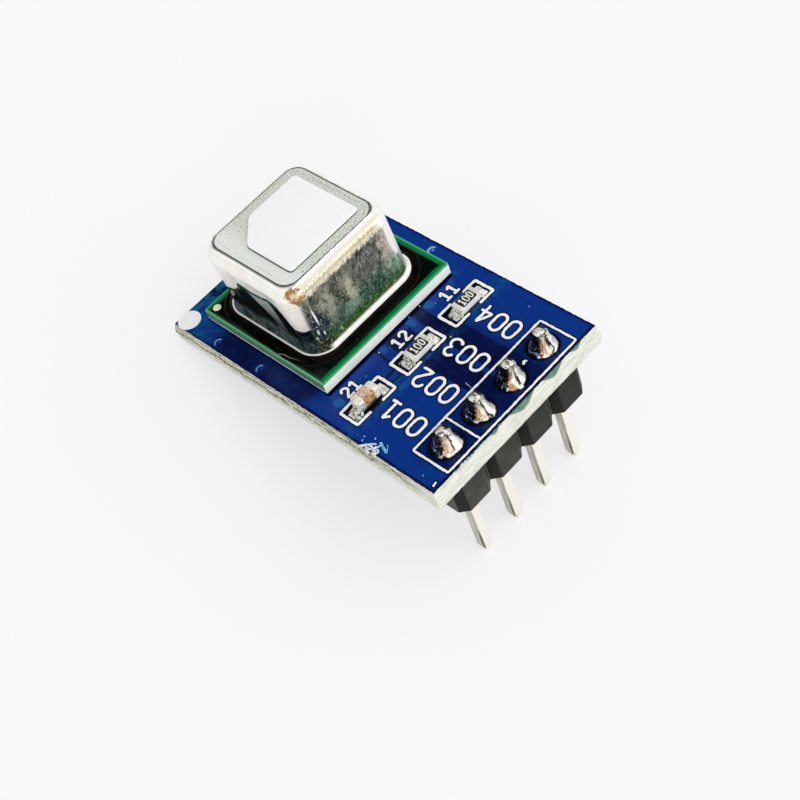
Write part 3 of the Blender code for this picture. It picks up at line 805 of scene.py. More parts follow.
def substrate_finish():
    """Green mask on a pale laminate: an emerald rim, a black-green field and cut sides, with a painted
    highlight along the left rim, a painted reflection left of the can, and on the left side a pale line,
    partly painted highlight, over painted shadow.
    """
    sheet = Sheet("green_mask")
    place = sheet.board_place()
    x, y, z = sheet.axes(place)
    across = y - SENSOR_Y
    reach = abs(x).most(abs(across))
    smear = sheet.noise(place, 1.6, 3.0)
    grain = sheet.noise(place, 8.0, 3.0)
    left = (-x - abs(across) - 0.02).ease(0.0, 0.12)
    inward = reach + (smear - 0.5) * 0.16 - left * 0.2
    field = sheet.blend(inward.ease(4.6, 4.8), (0.0006, 0.0035, 0.0018), (0.002, 0.2, 0.055))
    field = sheet.blend(left * inward.ease(4.5, 4.7) * 0.8, field, (0.01, 0.07, 0.03))
    field = sheet.blend((reach + (grain - 0.5) * 0.04).ease(4.9, 4.98), field, (0.05, 0.4, 0.17))
    # Painted highlight along the left top rim
    field = sheet.blend(left * (reach - 4.97).bell(0.0, 0.05), field, (0.3, 0.45, 0.36))
    ring = distance_from(sheet, place, (*GILT_MARK, SENSOR_TOP)).bell(0.32, 0.09)
    field = sheet.blend(ring * 0.85, field, (0.001, 0.004, 0.002))
    # Painted reflection along a slanting line left of the can
    line = gloss_line(x, y) + (smear - 0.5) * 0.25
    gloss = line.bell(0.0, 0.04) * y.bell(11.3, 1.4) * grain.ease(0.4, 0.5)
    patch = distance_from(sheet, place, (-4.25, 9.6, SENSOR_TOP)).bell(0.0, 0.3)
    gloss = gloss.most(patch * grain.ease(0.5, 0.6))
    field = sheet.blend(gloss * 0.7, field, (0.2, 0.24, 0.2))
    weave = sheet.noise(sheet.stretch(place, (0.6, 0.6, 8.0)), 2.0, 4.0)
    cream = sheet.blend(weave.ease(0.3, 0.7), (0.92, 0.95, 0.86), (0.99, 0.99, 0.95))
    moss = sheet.blend(weave.ease(0.35, 0.65), (0.03, 0.115, 0.06), (0.13, 0.27, 0.17))
    broken = sheet.noise(place, 3.2, 3.0).ease(0.36, 0.44)
    # A pale line where the cut laminate shows, partly a painted highlight; below it the left side is painted
    # dark as shadow
    laminate_glint = (z + (weave - 0.5) * 0.04).bell(0.3, 0.065) * broken
    moss = sheet.blend(z.ease(0.27, 0.21), moss, (0.001, 0.002, 0.012))
    moss = sheet.blend((laminate_glint * 2.5).least(1.0), moss, (0.97, 0.99, 0.94))
    cream = sheet.blend(x.ease(-5.0, -5.04), cream, moss)
    side = z.ease(0.845, 0.80)
    colour = sheet.blend(side, field, cream)
    return sheet.finish(
        Base_Color=colour,
        Roughness=0.12 + side * 0.45 + grain * 0.05,
        Specular_IOR_Level=0.16,
        Normal=sheet.relief(grain + weave * side, 0.015, 0.5),
    )


def gloss_line(x, y):
    """How far x lies from a slanting line left of the can, where the sensor mirrors light."""
    return x + 4.61 + (y - 10.47) * 0.247


def sealant_finish():
    """Black sealant: wet gloss with a slow ripple, a few specks and a painted reflection streak left of the
    can.
    """
    sheet = Sheet("black_sealant")
    place = sheet.board_place()
    ripple = sheet.noise(place, 1.1, 3.0, 0.5, 0.6)
    grain = sheet.noise(place, 7.0, 3.0)
    colour = sheet.blend(ripple.ease(0.35, 0.7), (0.001, 0.001, 0.001), (0.006, 0.004, 0.002))
    specks = sheet.specks(place, 2.6, 0.06)
    colour = sheet.blend(specks * grain.ease(0.45, 0.6), colour, (0.3, 0.28, 0.22))
    x, y, _ = sheet.axes(place)
    # Painted reflection streak along the line left of the can
    line = gloss_line(x, y) + (ripple - 0.5) * 0.3
    streak = (line.bell(0.0, 0.05) * 1.5).least(1.0) * y.bell(11.3, 1.6) * grain.ease(0.4, 0.5)
    colour = sheet.blend(streak * 0.8, colour, (0.22, 0.27, 0.23))
    return sheet.finish(
        Base_Color=colour,
        Roughness=0.12 + grain * 0.12,
        Specular_IOR_Level=0.06,
        Normal=sheet.relief(ripple + grain * 0.1, 0.05, 0.3),
    )


# Height of the rim of the painted dark reflection on the can's left wall, by the share of the way along the
# wall
LEFT_RIM = [
    (0.0, 3.0),
    (0.068, 3.0),
    (0.125, 2.75),
    (0.176, 2.85),
    (0.216, 3.7),
    (0.25, 4.35),
    (0.284, 4.6),
    (0.33, 4.75),
    (0.386, 4.5),
    (0.5, 4.4),
    (0.614, 4.5),
    (0.642, 4.3),
    (0.67, 3.8),
    (0.727, 3.35),
    (0.841, 3.05),
    (1.0, 2.9),
]


# Patches of painted reflection on the near wall: middle and half along it, middle and half in height, tint,
# share
NEAR_WALL = [
    (1.2, 1.3, 4.1, 1.5, (0.13, 0.13, 0.125), 0.95),
    (1.1, 1.5, 5.0, 0.45, (0.04, 0.05, 0.055), 0.8),
    (0.6, 1.3, 2.4, 0.8, (0.03, 0.095, 0.065), 0.8),
    (-3.0, 0.8, 2.9, 1.7, (0.014, 0.024, 0.055), 0.97),
    (-3.1, 0.9, 1.4, 0.6, (0.035, 0.03, 0.012), 0.9),
    (-1.3, 0.45, 4.0, 1.3, (0.05, 0.07, 0.04), 0.8),
    (-2.0, 0.6, 3.7, 1.5, (0.4, 0.41, 0.31), 0.9),
    (-0.4, 0.5, 3.5, 1.1, (0.6, 0.56, 0.42), 0.9),
    (-0.6, 0.9, 2.4, 0.6, (0.24, 0.4, 0.28), 0.7),
    (2.5, 0.6, 4.2, 1.6, (0.62, 0.52, 0.4), 0.9),
    (2.75, 0.8, 2.4, 1.0, (0.26, 0.4, 0.29), 0.8),
]

# Bright streaks on the near wall's left: place along it, height and half-widths both ways
GLINTS = [(-3.2, 2.5, 0.07, 0.26), (-2.9, 2.25, 0.06, 0.2), (-3.35, 2.1, 0.05, 0.14)]


def can_finish(look):
    """Nickelled drawn can, its reflections largely painted: matt top, a tan band, a near wall
    of painted reflections and mottling, and a painted dark reflection on the left wall.

    Each patch is a bell along the wall times a bell in height, bent by noise. The left
    wall's painted dark reflection lies below a rim line whose height a ramp gives along the wall.
    """
    sheet = Sheet("nickelled_can")
    place = sheet.board_place()
    x, y, z = sheet.axes(place)
    u = x - CAN_X
    v = y - CAN_Y
    lip = rounded_reach(u, v, 2.61).ease(4.03, 4.09) * z.ease(1.5, 1.35)
    speckle = sheet.noise(place, 10.5, 4.0, 0.7)
    cloud = sheet.noise(place, 0.8, 3.0)
    mottle = sheet.noise(sheet.stretch(place, (1.1, 1.1, 0.5)), 3.4, 6.0, 0.7, 0.3)
    fine = sheet.noise(place, 7.0, 3.0, 0.7)
    bend = sheet.noise(place, 1.3, 4.0, 0.6)
    brush = sheet.noise(sheet.stretch(place, (7.0, 7.0, 0.6)), 1.5, 4.0, 0.6)

    flat = z.ease(CAN_TOP - 0.012, CAN_TOP - 0.003)
    matt = sheet.blend(speckle.ease(0.4, 0.58), (0.5, 0.54, 0.47), (0.86, 0.9, 0.83))
    # The top is painted lighter towards its left: painted light
    matt = sheet.blend((-u).ease(1.5, 3.0) * 0.65, matt, (0.95, 0.99, 0.94))
    colour = sheet.blend(cloud.ease(0.3, 0.7), (0.9, 0.88, 0.82), tuple(look.can_colour))
    # Painted shade in the groove at the crease, fuller on the left
    groove = (z - (CAN_TOP - 0.023)).bell(0.0, 0.01).most((z - (CAN_TOP - 0.045)).bell(0.0, 0.016) * 0.8)
    west = (-u).ease(2.6, 3.1)
    groove = groove * fine.ease(0.44, 0.54).most(west) * (0.75 + west * 0.2)
    inner = rounded_reach(u - CAN_LEAN[0], v - CAN_LEAN[1], 2.4).bell(3.12, 0.07) * flat * fine.ease(0.5, 0.6)
    matt = sheet.blend(inner * (0.75 - west * 0.25), matt, (0.16, 0.18, 0.14))

    # Left wall: a painted dark reflection below the rim line, with a painted pale reflected spindle (the
    # facet)
    stops = [(at, (level / CAN_TOP,) * 3) for at, level in LEFT_RIM]
    rim = sheet.ramp((v + 4.4) / 8.8, stops) * CAN_TOP + (cloud - 0.5) * 0.3
    side = (-u).ease(3.1, 3.3)
    shade = side * (rim - z).ease(-0.05, 0.07) * (1.0 - lip)
    slant = abs(v + 1.05 - (z - 3.2) * 0.5) / ((z - 1.1) * 0.38).most(0.05)
    facet = slant.ease(1.0, 0.6) * z.ease(1.3, 2.5) * (rim - z).ease(0.12, 0.26)
    night = sheet.blend(bend.ease(0.4, 0.62), (0.014, 0.026, 0.027), (0.075, 0.105, 0.108))
    pale_facet = sheet.blend(z.ease(2.4, 4.0), (0.09, 0.1, 0.12), (0.4, 0.44, 0.45))
    night = sheet.blend(facet, night, pale_facet)
    night = sheet.blend(v.bell(1.6, 0.6) * z.bell(2.9, 0.7), night, (0.08, 0.15, 0.14))
    night = sheet.blend(v.ease(-2.6, -2.9) * fine.ease(0.58, 0.66) * 0.6, night, (0.2, 0.22, 0.17))
    colour = sheet.blend(shade, colour, night)
    # Above the rim line, a painted cream reflection of the room, pink-tinged in the corner
    bright = side * (z - rim).ease(-0.02, 0.1) * z.ease(5.3, 4.9)
    blush = v.bell(1.4, 0.6) * z.bell(4.8, 0.6) * 0.6 + v.ease(-2.5, -2.9) * fine.ease(0.45, 0.62) * 0.55
    cream = sheet.blend(blush.least(1.0), (0.97, 0.94, 0.89), (0.78, 0.63, 0.52))
    colour = sheet.blend(bright, colour, cream)

    front = (-v).ease(3.5, 3.66)
    reach = (u - (2.9 - z).ease(0.0, 0.4) * 0.6).ease(3.0, 2.65)
    above = z.ease(1.14, 1.3).most(u.ease(-2.3, -3.1)) * (1.0 - lip)
    wall = front * reach * (z + (fine - 0.5) * 0.3).ease(5.14, 5.04) * above
    across = u + (bend - 0.5) * 1.2
    level = z + (cloud - 0.5) * 1.0
    # Near wall: painted reflections of the board and room, with mottling
    grey = sheet.blend(bend.ease(0.35, 0.65), (0.1, 0.125, 0.09), (0.2, 0.21, 0.155))
    paint = sheet.blend(level.ease(2.5, 3.6), (0.055, 0.125, 0.08), grey)
    paint = sheet.blend(level.ease(2.0, 1.5), paint, (0.04, 0.13, 0.025))
    for middle, half, height, rise, tint, share in NEAR_WALL:
        spot = across.bell(middle, half) * level.bell(height, rise)
        paint = sheet.blend((spot * 1.8).least(share), paint, tint)
    paint = sheet.blend(mottle.ease(0.52, 0.62) * level.ease(2.0, 3.4) * 0.45, paint, (0.5, 0.48, 0.38))
    paint = sheet.blend(mottle.ease(0.48, 0.38) * 0.7, paint, (0.018, 0.026, 0.02))
    # A painted reflected swirl on the near wall's right
    whorl = distance_from(sheet, place, (CAN_X + 2.35, CAN_Y - 3.9, 2.75)) + (bend - 0.5) * 0.8
    curl = whorl.math("PINGPONG", whorl, 0.22)
    curl = curl.ease(0.14, 0.21) * u.ease(1.7, 2.1) * z.bell(2.7, 0.8)
    paint = sheet.blend(curl * 0.7, paint, (0.6, 0.72, 0.58))
    paint = sheet.blend(fine.ease(0.54, 0.64) * 0.45, paint, (0.5, 0.52, 0.42))
    paint = sheet.blend(fine.ease(0.46, 0.37) * 0.55, paint, (0.012, 0.02, 0.016))
    # Bright flecks: partly specks of dust, partly painted glints
    flecks = sheet.specks(place, 3.4, 0.16).most(sheet.specks(place, 2.1, 0.13)) * bend.ease(0.44, 0.54)
    paint = sheet.blend(flecks, paint, (0.97, 0.99, 0.92))
    # Painted highlights on the near wall's left: a streak and the glints
    streak = (u + 3.03 + (z - 3.5) * 0.05).bell(0.0, 0.08) * (z - 3.65).bell(0.0, 0.85)
    for glint_u, glint_z, half_u, half_z in GLINTS:
        streak = streak.most((u - glint_u).bell(0.0, half_u) * (z - glint_z).bell(0.0, half_z))
    paint = sheet.blend((streak * 2.0).least(1.0), paint, (0.97, 0.97, 0.95))
    colour = sheet.blend(wall, colour, paint)

    # Painted reflection on the near shoulder: white at the crease, greyer lower down
    shoulder_reflection = (-v).ease(3.3, 3.42) * z.ease(5.975, 5.94) * z.ease(5.6, 5.7) * u.ease(3.6, 3.0)
    shoulder_tone = sheet.blend(z.ease(5.95, 5.82), (0.95, 0.93, 0.9), (0.68, 0.66, 0.56))
    colour = sheet.blend(shoulder_reflection, colour, shoulder_tone)
    edge = (z + (fine - 0.5) * 0.2).ease(5.86, 5.74) * (z + (fine - 0.5) * 0.3).ease(4.98, 5.1)
    band = front * edge * (u + 0.25).bell(0.0, 3.4).ease(0.0, 0.12)
    tan = sheet.blend((brush * 0.75 + fine * 0.25).ease(0.38, 0.6), (0.56, 0.48, 0.3), (0.88, 0.84, 0.68))
    tan = sheet.blend((z + (brush - 0.5) * 0.3).bell(5.46, 0.12) * 0.6, tan, (0.36, 0.26, 0.11))
    # Darker along the band's lower edge
    band_foot_dark = (z + (fine - 0.5) * 0.5).ease(5.24, 5.06) * brush.ease(0.62, 0.46)
    tan = sheet.blend(band_foot_dark * 0.85, tan, (0.1, 0.075, 0.035))
    colour = sheet.blend(band * 0.94, colour, tan)
    blots = sheet.noise(place, 2.6, 4.0, 0.65)
    stain = distance_from(sheet, place, (CAN_X - 3.5, CAN_Y - 3.5, 5.5)) + (blots - 0.5) * 1.5
    stain = stain.ease(0.55, 0.34)
    rust = sheet.blend((blots + fine * 0.4).ease(0.62, 0.8), (0.3, 0.14, 0.04), (0.72, 0.5, 0.27))
    colour = sheet.blend(stain * fine.ease(0.3, 0.42) * 0.95, colour, rust)
    colour = sheet.blend(flat, colour, matt)
    colour = sheet.blend(groove, colour, (0.05, 0.055, 0.045))
    # The flange is painted pale, a painted reflection of the white room, browner up the foot
    foot = lip.most(z.ease(1.1, 1.04) * (1.0 - side.most(front)))
    foot = foot.most(front * z.ease(1.34, 1.18) * u.ease(-3.1, -2.3))
    pale = sheet.blend((z + (fine - 0.5) * 0.2).ease(1.12, 1.3), (0.95, 0.94, 0.9), (0.5, 0.42, 0.26))
    colour = sheet.blend(foot, colour, pale)

    painted = flat.most(wall * 0.85).most(foot * 1.1).most(band.most(shoulder_reflection) * 0.9).most(groove).most(stain)
    painted = painted.most(bright * 0.45).most(shade * facet * 0.8).most(shade * z.ease(2.2, 1.5) * 1.17)
    rough = 0.12 + flat * 0.35 + wall * 0.24 + band * 0.25 + stain * 0.2 + bright * 0.2
    # The far and right walls are rougher, so that they don't mirror the room's dim side
    rough = rough + v.ease(2.7, 3.3).most(u.ease(3.2, 3.6)) * (1.0 - flat) * 0.3
    height = speckle * (0.15 + flat * 0.4 - shade * 0.15) + mottle * wall * 0.8
    return sheet.finish(
        Base_Color=colour,
        Metallic=(1.0 - painted * 0.85).most(0.0),
        Roughness=rough,
        Specular_IOR_Level=0.0,
        Normal=sheet.relief(height, 0.03, 0.5),
    )


def rounded_reach(u, v, centre):
    """Half-size of the rounded square through a point; its corners turn about the centre."""
    across = (abs(u) - centre).most(0.0)
    deep = (abs(v) - centre).most(0.0)
    return (across * across + deep * deep) ** 0.5 + centre


def distance_from(sheet, place, point):
    """Distance from a point of the board's frame, in millimetres."""
    settings = {"operation": "DISTANCE"}
    return sheet.node("ShaderNodeVectorMath", settings, {0: place, 1: point}, output="Value")


def film_finish():
    """White porous film."""
    sheet = Sheet("white_film")
    place = sheet.board_place()
    pores = sheet.noise(place, 16.0, 4.0, 0.7)
    colour = sheet.blend(pores.ease(0.3, 0.7), (0.95, 0.95, 0.95), (0.98, 0.98, 0.98))
    relief = sheet.relief(pores, 0.008, 0.4)
    return sheet.finish(Base_Color=colour, Roughness=0.75 + pores * 0.1, Normal=relief)


def rim_shadow_finish():
    """Dark grey under the film's rim: a painted shadow."""
    sheet = Sheet("film_rim_shade")
    place = sheet.board_place()
    grain = sheet.noise(place, 6.0, 3.0)
    colour = sheet.blend(grain.ease(0.3, 0.7), (0.02, 0.025, 0.03), (0.11, 0.12, 0.12))
    return sheet.finish(Base_Color=colour, Roughness=0.5 + grain * 0.2)


def gold_finish():
    """Thin gilding over copper: pale yellow, nearly without a metal's mirror."""
    sheet = Sheet("gilt_mark")
    place = sheet.board_place()
    grain = sheet.noise(place, 9.0, 3.0)
    colour = sheet.blend(grain.ease(0.3, 0.7), (0.98, 0.93, 0.55), (1.0, 0.99, 0.8))
    relief = sheet.relief(grain, 0.01, 0.5)
    return sheet.finish(Base_Color=colour, Metallic=0.05, Roughness=0.3 + grain * 0.2, Normal=relief)


def ceramic_finish(name, dark, light, gloss):
    """Fired ceramic of a chip part: fine grain between two tones."""
    sheet = Sheet(name)
    place = sheet.board_place()
    grain = sheet.noise(place, 9.0, 4.0, 0.6)
    streak = sheet.noise(sheet.stretch(place, (1.0, 1.0, 6.0)), 2.0, 3.0)
    colour = sheet.blend((grain * 0.6 + streak * 0.4).ease(0.35, 0.65), dark, light)
    relief = sheet.relief(grain, 0.015, 0.5)
    return sheet.finish(Base_Color=colour, Roughness=gloss + grain * 0.15, Normal=relief)


def capacitor_finish():
    """Tan capacitor body: pale on top and browner down its near side as painted shade, with a painted shadow
    along its foot.
    """
    sheet = Sheet("tan_ceramic")
    place = sheet.board_place()
    _, y, z = sheet.axes(place)
    grain = sheet.noise(place, 5.0, 4.0, 0.6)
    # Browner down the near side: a painted shade
    near = (y - CHIP_Y + (grain - 0.5) * 0.2).ease(-0.1, -0.34)
    pale = sheet.blend(grain.ease(0.35, 0.65), (0.56, 0.4, 0.26), (0.78, 0.62, 0.46))
    brown = sheet.blend(grain.ease(0.4, 0.6), (0.3, 0.15, 0.05), (0.68, 0.42, 0.2))
    colour = sheet.blend(near, pale, brown)
    # Painted shadow along the body's foot
    colour = sheet.blend((z + (grain - 0.5) * 0.4).ease(0.34, 0.16), colour, (0.05, 0.03, 0.015))
    relief = sheet.relief(grain, 0.015, 0.5)
    return sheet.finish(Base_Color=colour, Roughness=0.4 + grain * 0.15, Normal=relief)


def plate_finish(name, dark, light, rough, metal=1.0, squiggle_reflections=0.0, shadow=0.0):
    """Plated or soldered metal with a frosted grain.

    Where asked, painted dark reflections follow a noise's middle line, and the low part is darkened as
    painted shade.
    """
    sheet = Sheet(name)
    place = sheet.board_place()
    _, _, z = sheet.axes(place)
    frost = sheet.noise(place, 5.5, 4.0, 0.65)
    wave = sheet.noise(place, 2.0, 2.0, 0.5, 1.0)
    colour = sheet.blend(frost.ease(0.35, 0.65), dark, light)
    # Painted dark reflections in squiggles
    if squiggle_reflections:
        line = (sheet.noise(place, 2.3, 1.0, 0.5, 0.8).bell(0.5, 0.07) * 1.5).least(1.0)
        colour = sheet.blend(line * squiggle_reflections, colour, (0.015, 0.02, 0.015))
    if shadow:
        low = (z + (wave - 0.5) * 0.5).ease(0.42, 0.2)
        colour = sheet.blend(low * shadow, colour, (0.05, 0.06, 0.035))
    return sheet.finish(
        Base_Color=colour,
        Metallic=metal,
        Roughness=rough + frost.ease(0.4, 0.7) * 0.2,
        Normal=sheet.relief(frost * 0.6 + wave, 0.04, 0.4),
    )


def debris_finish(name, dark, light):
    """Semi-gloss shavings or ink: fine grain between two tones."""
    sheet = Sheet(name)
    place = sheet.board_place()
    grain = sheet.noise(place, 5.0, 3.0)
    colour = sheet.blend(grain.ease(0.35, 0.65), dark, light)
    relief = sheet.relief(grain, 0.02, 0.6)
    return sheet.finish(Base_Color=colour, Roughness=0.35 + grain * 0.2, Normal=relief)


def floor_finish(look):
    """Pale floor, a little uneven. A share of glow, for the camera alone, thins the shadow."""
    sheet = Sheet("pale_floor")
    place = sheet.node("ShaderNodeTexCoord", output="Object")
    cloud = sheet.noise(place, 18.0, 2.0)
    tone = tuple(look.floor_colour)
    colour = sheet.blend(cloud, tone, tuple(v * 0.985 for v in tone))
    matt = {"Base Color": colour, "Roughness": 0.9, "Specular IOR Level": 0.1}
    cloth = sheet.node("ShaderNodeBsdfPrincipled", sockets=matt)
    glow = sheet.node("ShaderNodeEmission", sockets={"Color": (0.947, 0.947, 0.947), "Strength": 1.0})
    paths = sheet.node("ShaderNodeLightPath")
    seen = Signal(sheet, paths.socket.node.outputs["Is Camera Ray"])
    mixed = sheet.node("ShaderNodeMixShader", sockets={0: seen * look.floor_glow, 1: cloth, 2: glow})
    sheet.node("ShaderNodeOutputMaterial", sockets={0: mixed})
    return sheet.material


def outside_box(x, y, box):
    """Distance outside a box (x0, x1, y0, y1), negative inside it."""
    middle_x, middle_y = (box[0] + box[1]) / 2, (box[2] + box[3]) / 2
    beyond_x = np.abs(x - middle_x) - (box[1] - box[0]) / 2
    beyond_y = np.abs(y - middle_y) - (box[3] - box[2]) / 2
    outside = np.hypot(np.maximum(beyond_x, 0), np.maximum(beyond_y, 0))
    return outside + np.minimum(np.maximum(beyond_x, beyond_y), 0)


def from_path(x, y, path):
    """Distance from a path: the least over its stretches of the distance to each."""
    best = np.full(np.broadcast(x, y).shape, 1e3)
    for (ax, ay), (bx, by) in zip(path, path[1:]):
        length = (bx - ax) ** 2 + (by - ay) ** 2
        share = np.clip(((x - ax) * (bx - ax) + (y - ay) * (by - ay)) / length, 0, 1)
        best = np.minimum(best, np.hypot(x - ax - share * (bx - ax), y - ay - share * (by - ay)))
    return best


# Boxes without copper, as x0, x1, y0, y1 and how bare they look
BARE_ZONES = [
    (-0.62, 2.72, -1.36, 4.8, 1.0),
    (2.72, 3.08, -1.36, 4.9, 0.4),
    (1.45, 2.28, 4.6, 8.3, 1.0),
    (-0.75, 0.9, 6.4, 7.2, 0.8),
    (-0.75, 0.3, 7.2, 8.3, 0.9),
    (-2.5, -1.75, 5.25, 5.42, 0.8),
    (-2.5, -1.75, 5.75, 5.95, 0.8),
    (-3.9, -2.9, 18.2, 19.6, 1.0),
    (-4.98, 4.2, -1.2, 1.2, 0.6),
]

# Bare too: a box whose rim wanders, discs by middle and radius, a line by points and half-width
SOFT_ZONE = (-7.5, -4.4, 8.5, 16.4)
BARE_PADS = [(-3.81, 1.12), (-1.27, 1.02), (1.27, 1.02), (3.81, 1.0)]
BARE_LINES = [([(-1.62, 8.2), (-1.35, 7.6), (-1.5, 6.8), (-1.5, 6.4)], 0.09)]

# Copper tracks through the bare places: points and half-width
TRACES = [
    ([(0.97, 4.9), (0.97, 1.3), (1.27, 0.4)], 0.19),
    ([(1.45, 8.3), (1.35, 7.4), (1.0, 6.9), (0.95, 5.9)], 0.22),
    ([(2.6, 8.3), (2.55, 7.2), (2.75, 6.6), (2.8, 5.9)], 0.2),
    ([(-0.9, 4.9), (-0.9, 1.0), (-1.27, 0.3)], 0.14),
    ([(-1.0, 8.2), (-1.15, 7.6), (-0.95, 6.9), (-1.0, 6.2)], 0.2),
]

# Middles of the vias, the bare strip along the mask's rim, and the painted shadow strip along the substrate's
# near foot
VIAS = [(-5.9, 16.1), (-5.86, 12.5), (5.75, 10.02)]
EDGE_KEEP = 0.16
SUBSTRATE_SHADOW = (-5.0, 5.0, 7.7, 8.0)

# Ellipses where the copper is brighter: middle, half-sizes and gain
BRIGHT_SPOTS = [
    (1.16, 7.4, 0.28, 0.55, 0.4),
    (2.66, 7.45, 0.36, 0.6, 0.45),
    (-5.05, 6.9, 0.3, 0.4, 0.6),
    (-1.9, 4.6, 0.9, 0.26, 0.3),
    (-1.1, 7.4, 0.25, 0.5, 0.3),
    (5.2, 7.7, 0.3, 0.3, 0.25),
]


def copper_and_shade_map(x, y):
    """Copper under the mask: 1 over copper, 0 bare, -1 round the pads and in painted shade, 2 on the via
    rings' painted highlights.

    It is the greater of 1 - bare and track, plus the bright spots. Then it falls towards -1 in
    the openings at the chip parts and pins, in painted shade under the chip parts and along the
    sensor's near foot, and bells raise it at the vias into painted highlight crescents.
    """
    bare = np.zeros(np.broadcast(x, y).shape)
    for *box, strength in BARE_ZONES:
        bare = np.maximum(bare, strength * ease(outside_box(x, y, box), 0.04, -0.04))
    wander = 0.25 * drift(x * 1.3, y * 1.3, 9)
    bare = np.maximum(bare, 0.85 * ease(outside_box(x, y, SOFT_ZONE) + wander, 0.5, -0.5))
    for middle, radius in BARE_PADS:
        bare = np.maximum(bare, ease(np.hypot(x - middle, y), radius + 0.04, radius - 0.04))
    for path, width in BARE_LINES:
        bare = np.maximum(bare, ease(from_path(x, y, path), width + 0.04, width - 0.04))
    edge_x = BOARD_HALF - SCORE_RUN
    edge = (-edge_x, edge_x, NEAR_EDGE + SCORE_RUN, FAR_EDGE - SCORE_RUN)
    bare = np.maximum(bare, ease(outside_box(x, y, edge), -EDGE_KEEP - 0.03, -EDGE_KEEP + 0.03))
    trace = np.zeros(bare.shape)
    for path, width in TRACES:
        trace = np.maximum(trace, ease(from_path(x, y, path), width + 0.04, width - 0.04))
    value = np.maximum(1 - bare, trace)
    for spot_x, spot_y, half_x, half_y, gain in BRIGHT_SPOTS:
        away = np.hypot((x - spot_x) / half_x, (y - spot_y) / half_y) + 0.25 * drift(x * 5, y * 5, 8)
        value = value + gain * ease(away, 1.2, 0.5)
    for name, middle in CHIPS.items():
        for left, right in ((-1.5, -0.52), (0.55, 1.46)):
            pad = (middle + left, middle + right, 4.94, 6.34)
            value = value - (1 + value) * ease(outside_box(x, y, pad), 0.03, -0.03)
        # Painted shade under each chip part, darker under the capacitor
        under_chip_shade = ease(outside_box(x, y, (middle - 0.6, middle + 0.6, 4.94, 6.2)), 0.03, -0.03)
        value = value - (1 + value) * under_chip_shade * (0.95 if name == "capacitor" else 0.55)
    # Painted shadow along the substrate's near foot
    value = value - (1 + value) * 0.85 * ease(outside_box(x, y, SUBSTRATE_SHADOW), 0.05, -0.03)
    for middle in PIN_ROW:
        opening = ease(np.hypot(x - middle, y), 0.98, 0.93)
        value = value - (1 + value) * opening * 0.9
    # Painted highlight crescents and dots on the via rings
    for via_x, via_y in VIAS:
        ring = bump_at(np.hypot(x - via_x, y - via_y), 0.25, 0.06) * ease(y - via_y, -0.1, 0.12)
        value = value + 2.6 * ring + 1.6 * bump_at(np.hypot(x - via_x - 0.05, y - via_y), 0, 0.09)
    return value


def mask_sheet(skin, base, sign, spacing_x, lines_y, mapped, inset=0.0):
    """Mask film: height is base + copper relief, with a raised ring and a dimple at each via.

    Noise moves its long rims and its near rim inwards, as chipped mask.
    """
    edge_x = BOARD_HALF - SCORE_RUN - inset
    lines_x = np.linspace(-edge_x, edge_x, int(2 * edge_x / spacing_x) + 1)
    x, y = np.meshgrid(lines_x, lines_y, indexing="ij")
    copper = mapped(x, y)
    lift = 0.028 * (np.clip(copper, 0, 1) - 1)
    for via_x, via_y in VIAS:
        away = np.hypot(x - via_x, y - via_y)
        lift = lift + 0.02 * bump_at(away, 0.24, 0.09) - 0.012 * bump_at(away, 0, 0.12)
    rough = 0.022 * (drift(x * 3.1, y * 3.1, 5) + drift(x * 9, y * 9, 6))
    near_rim = ease(np.abs(x), edge_x - 0.05, edge_x)
    chipped = ease(-y, -NEAR_EDGE - SCORE_RUN - 0.06, -NEAR_EDGE - SCORE_RUN)
    x = x - np.sign(x) * near_rim * np.abs(rough)
    y = y + chipped * np.abs(rough) * (1 + 2.2 * ease(-np.abs(x + 3.0), -2.2, -1.6))
    skin.add_slab(np.stack([x, y, base + sign * lift], -1), base - sign * MASK_DEPTH, value=copper)


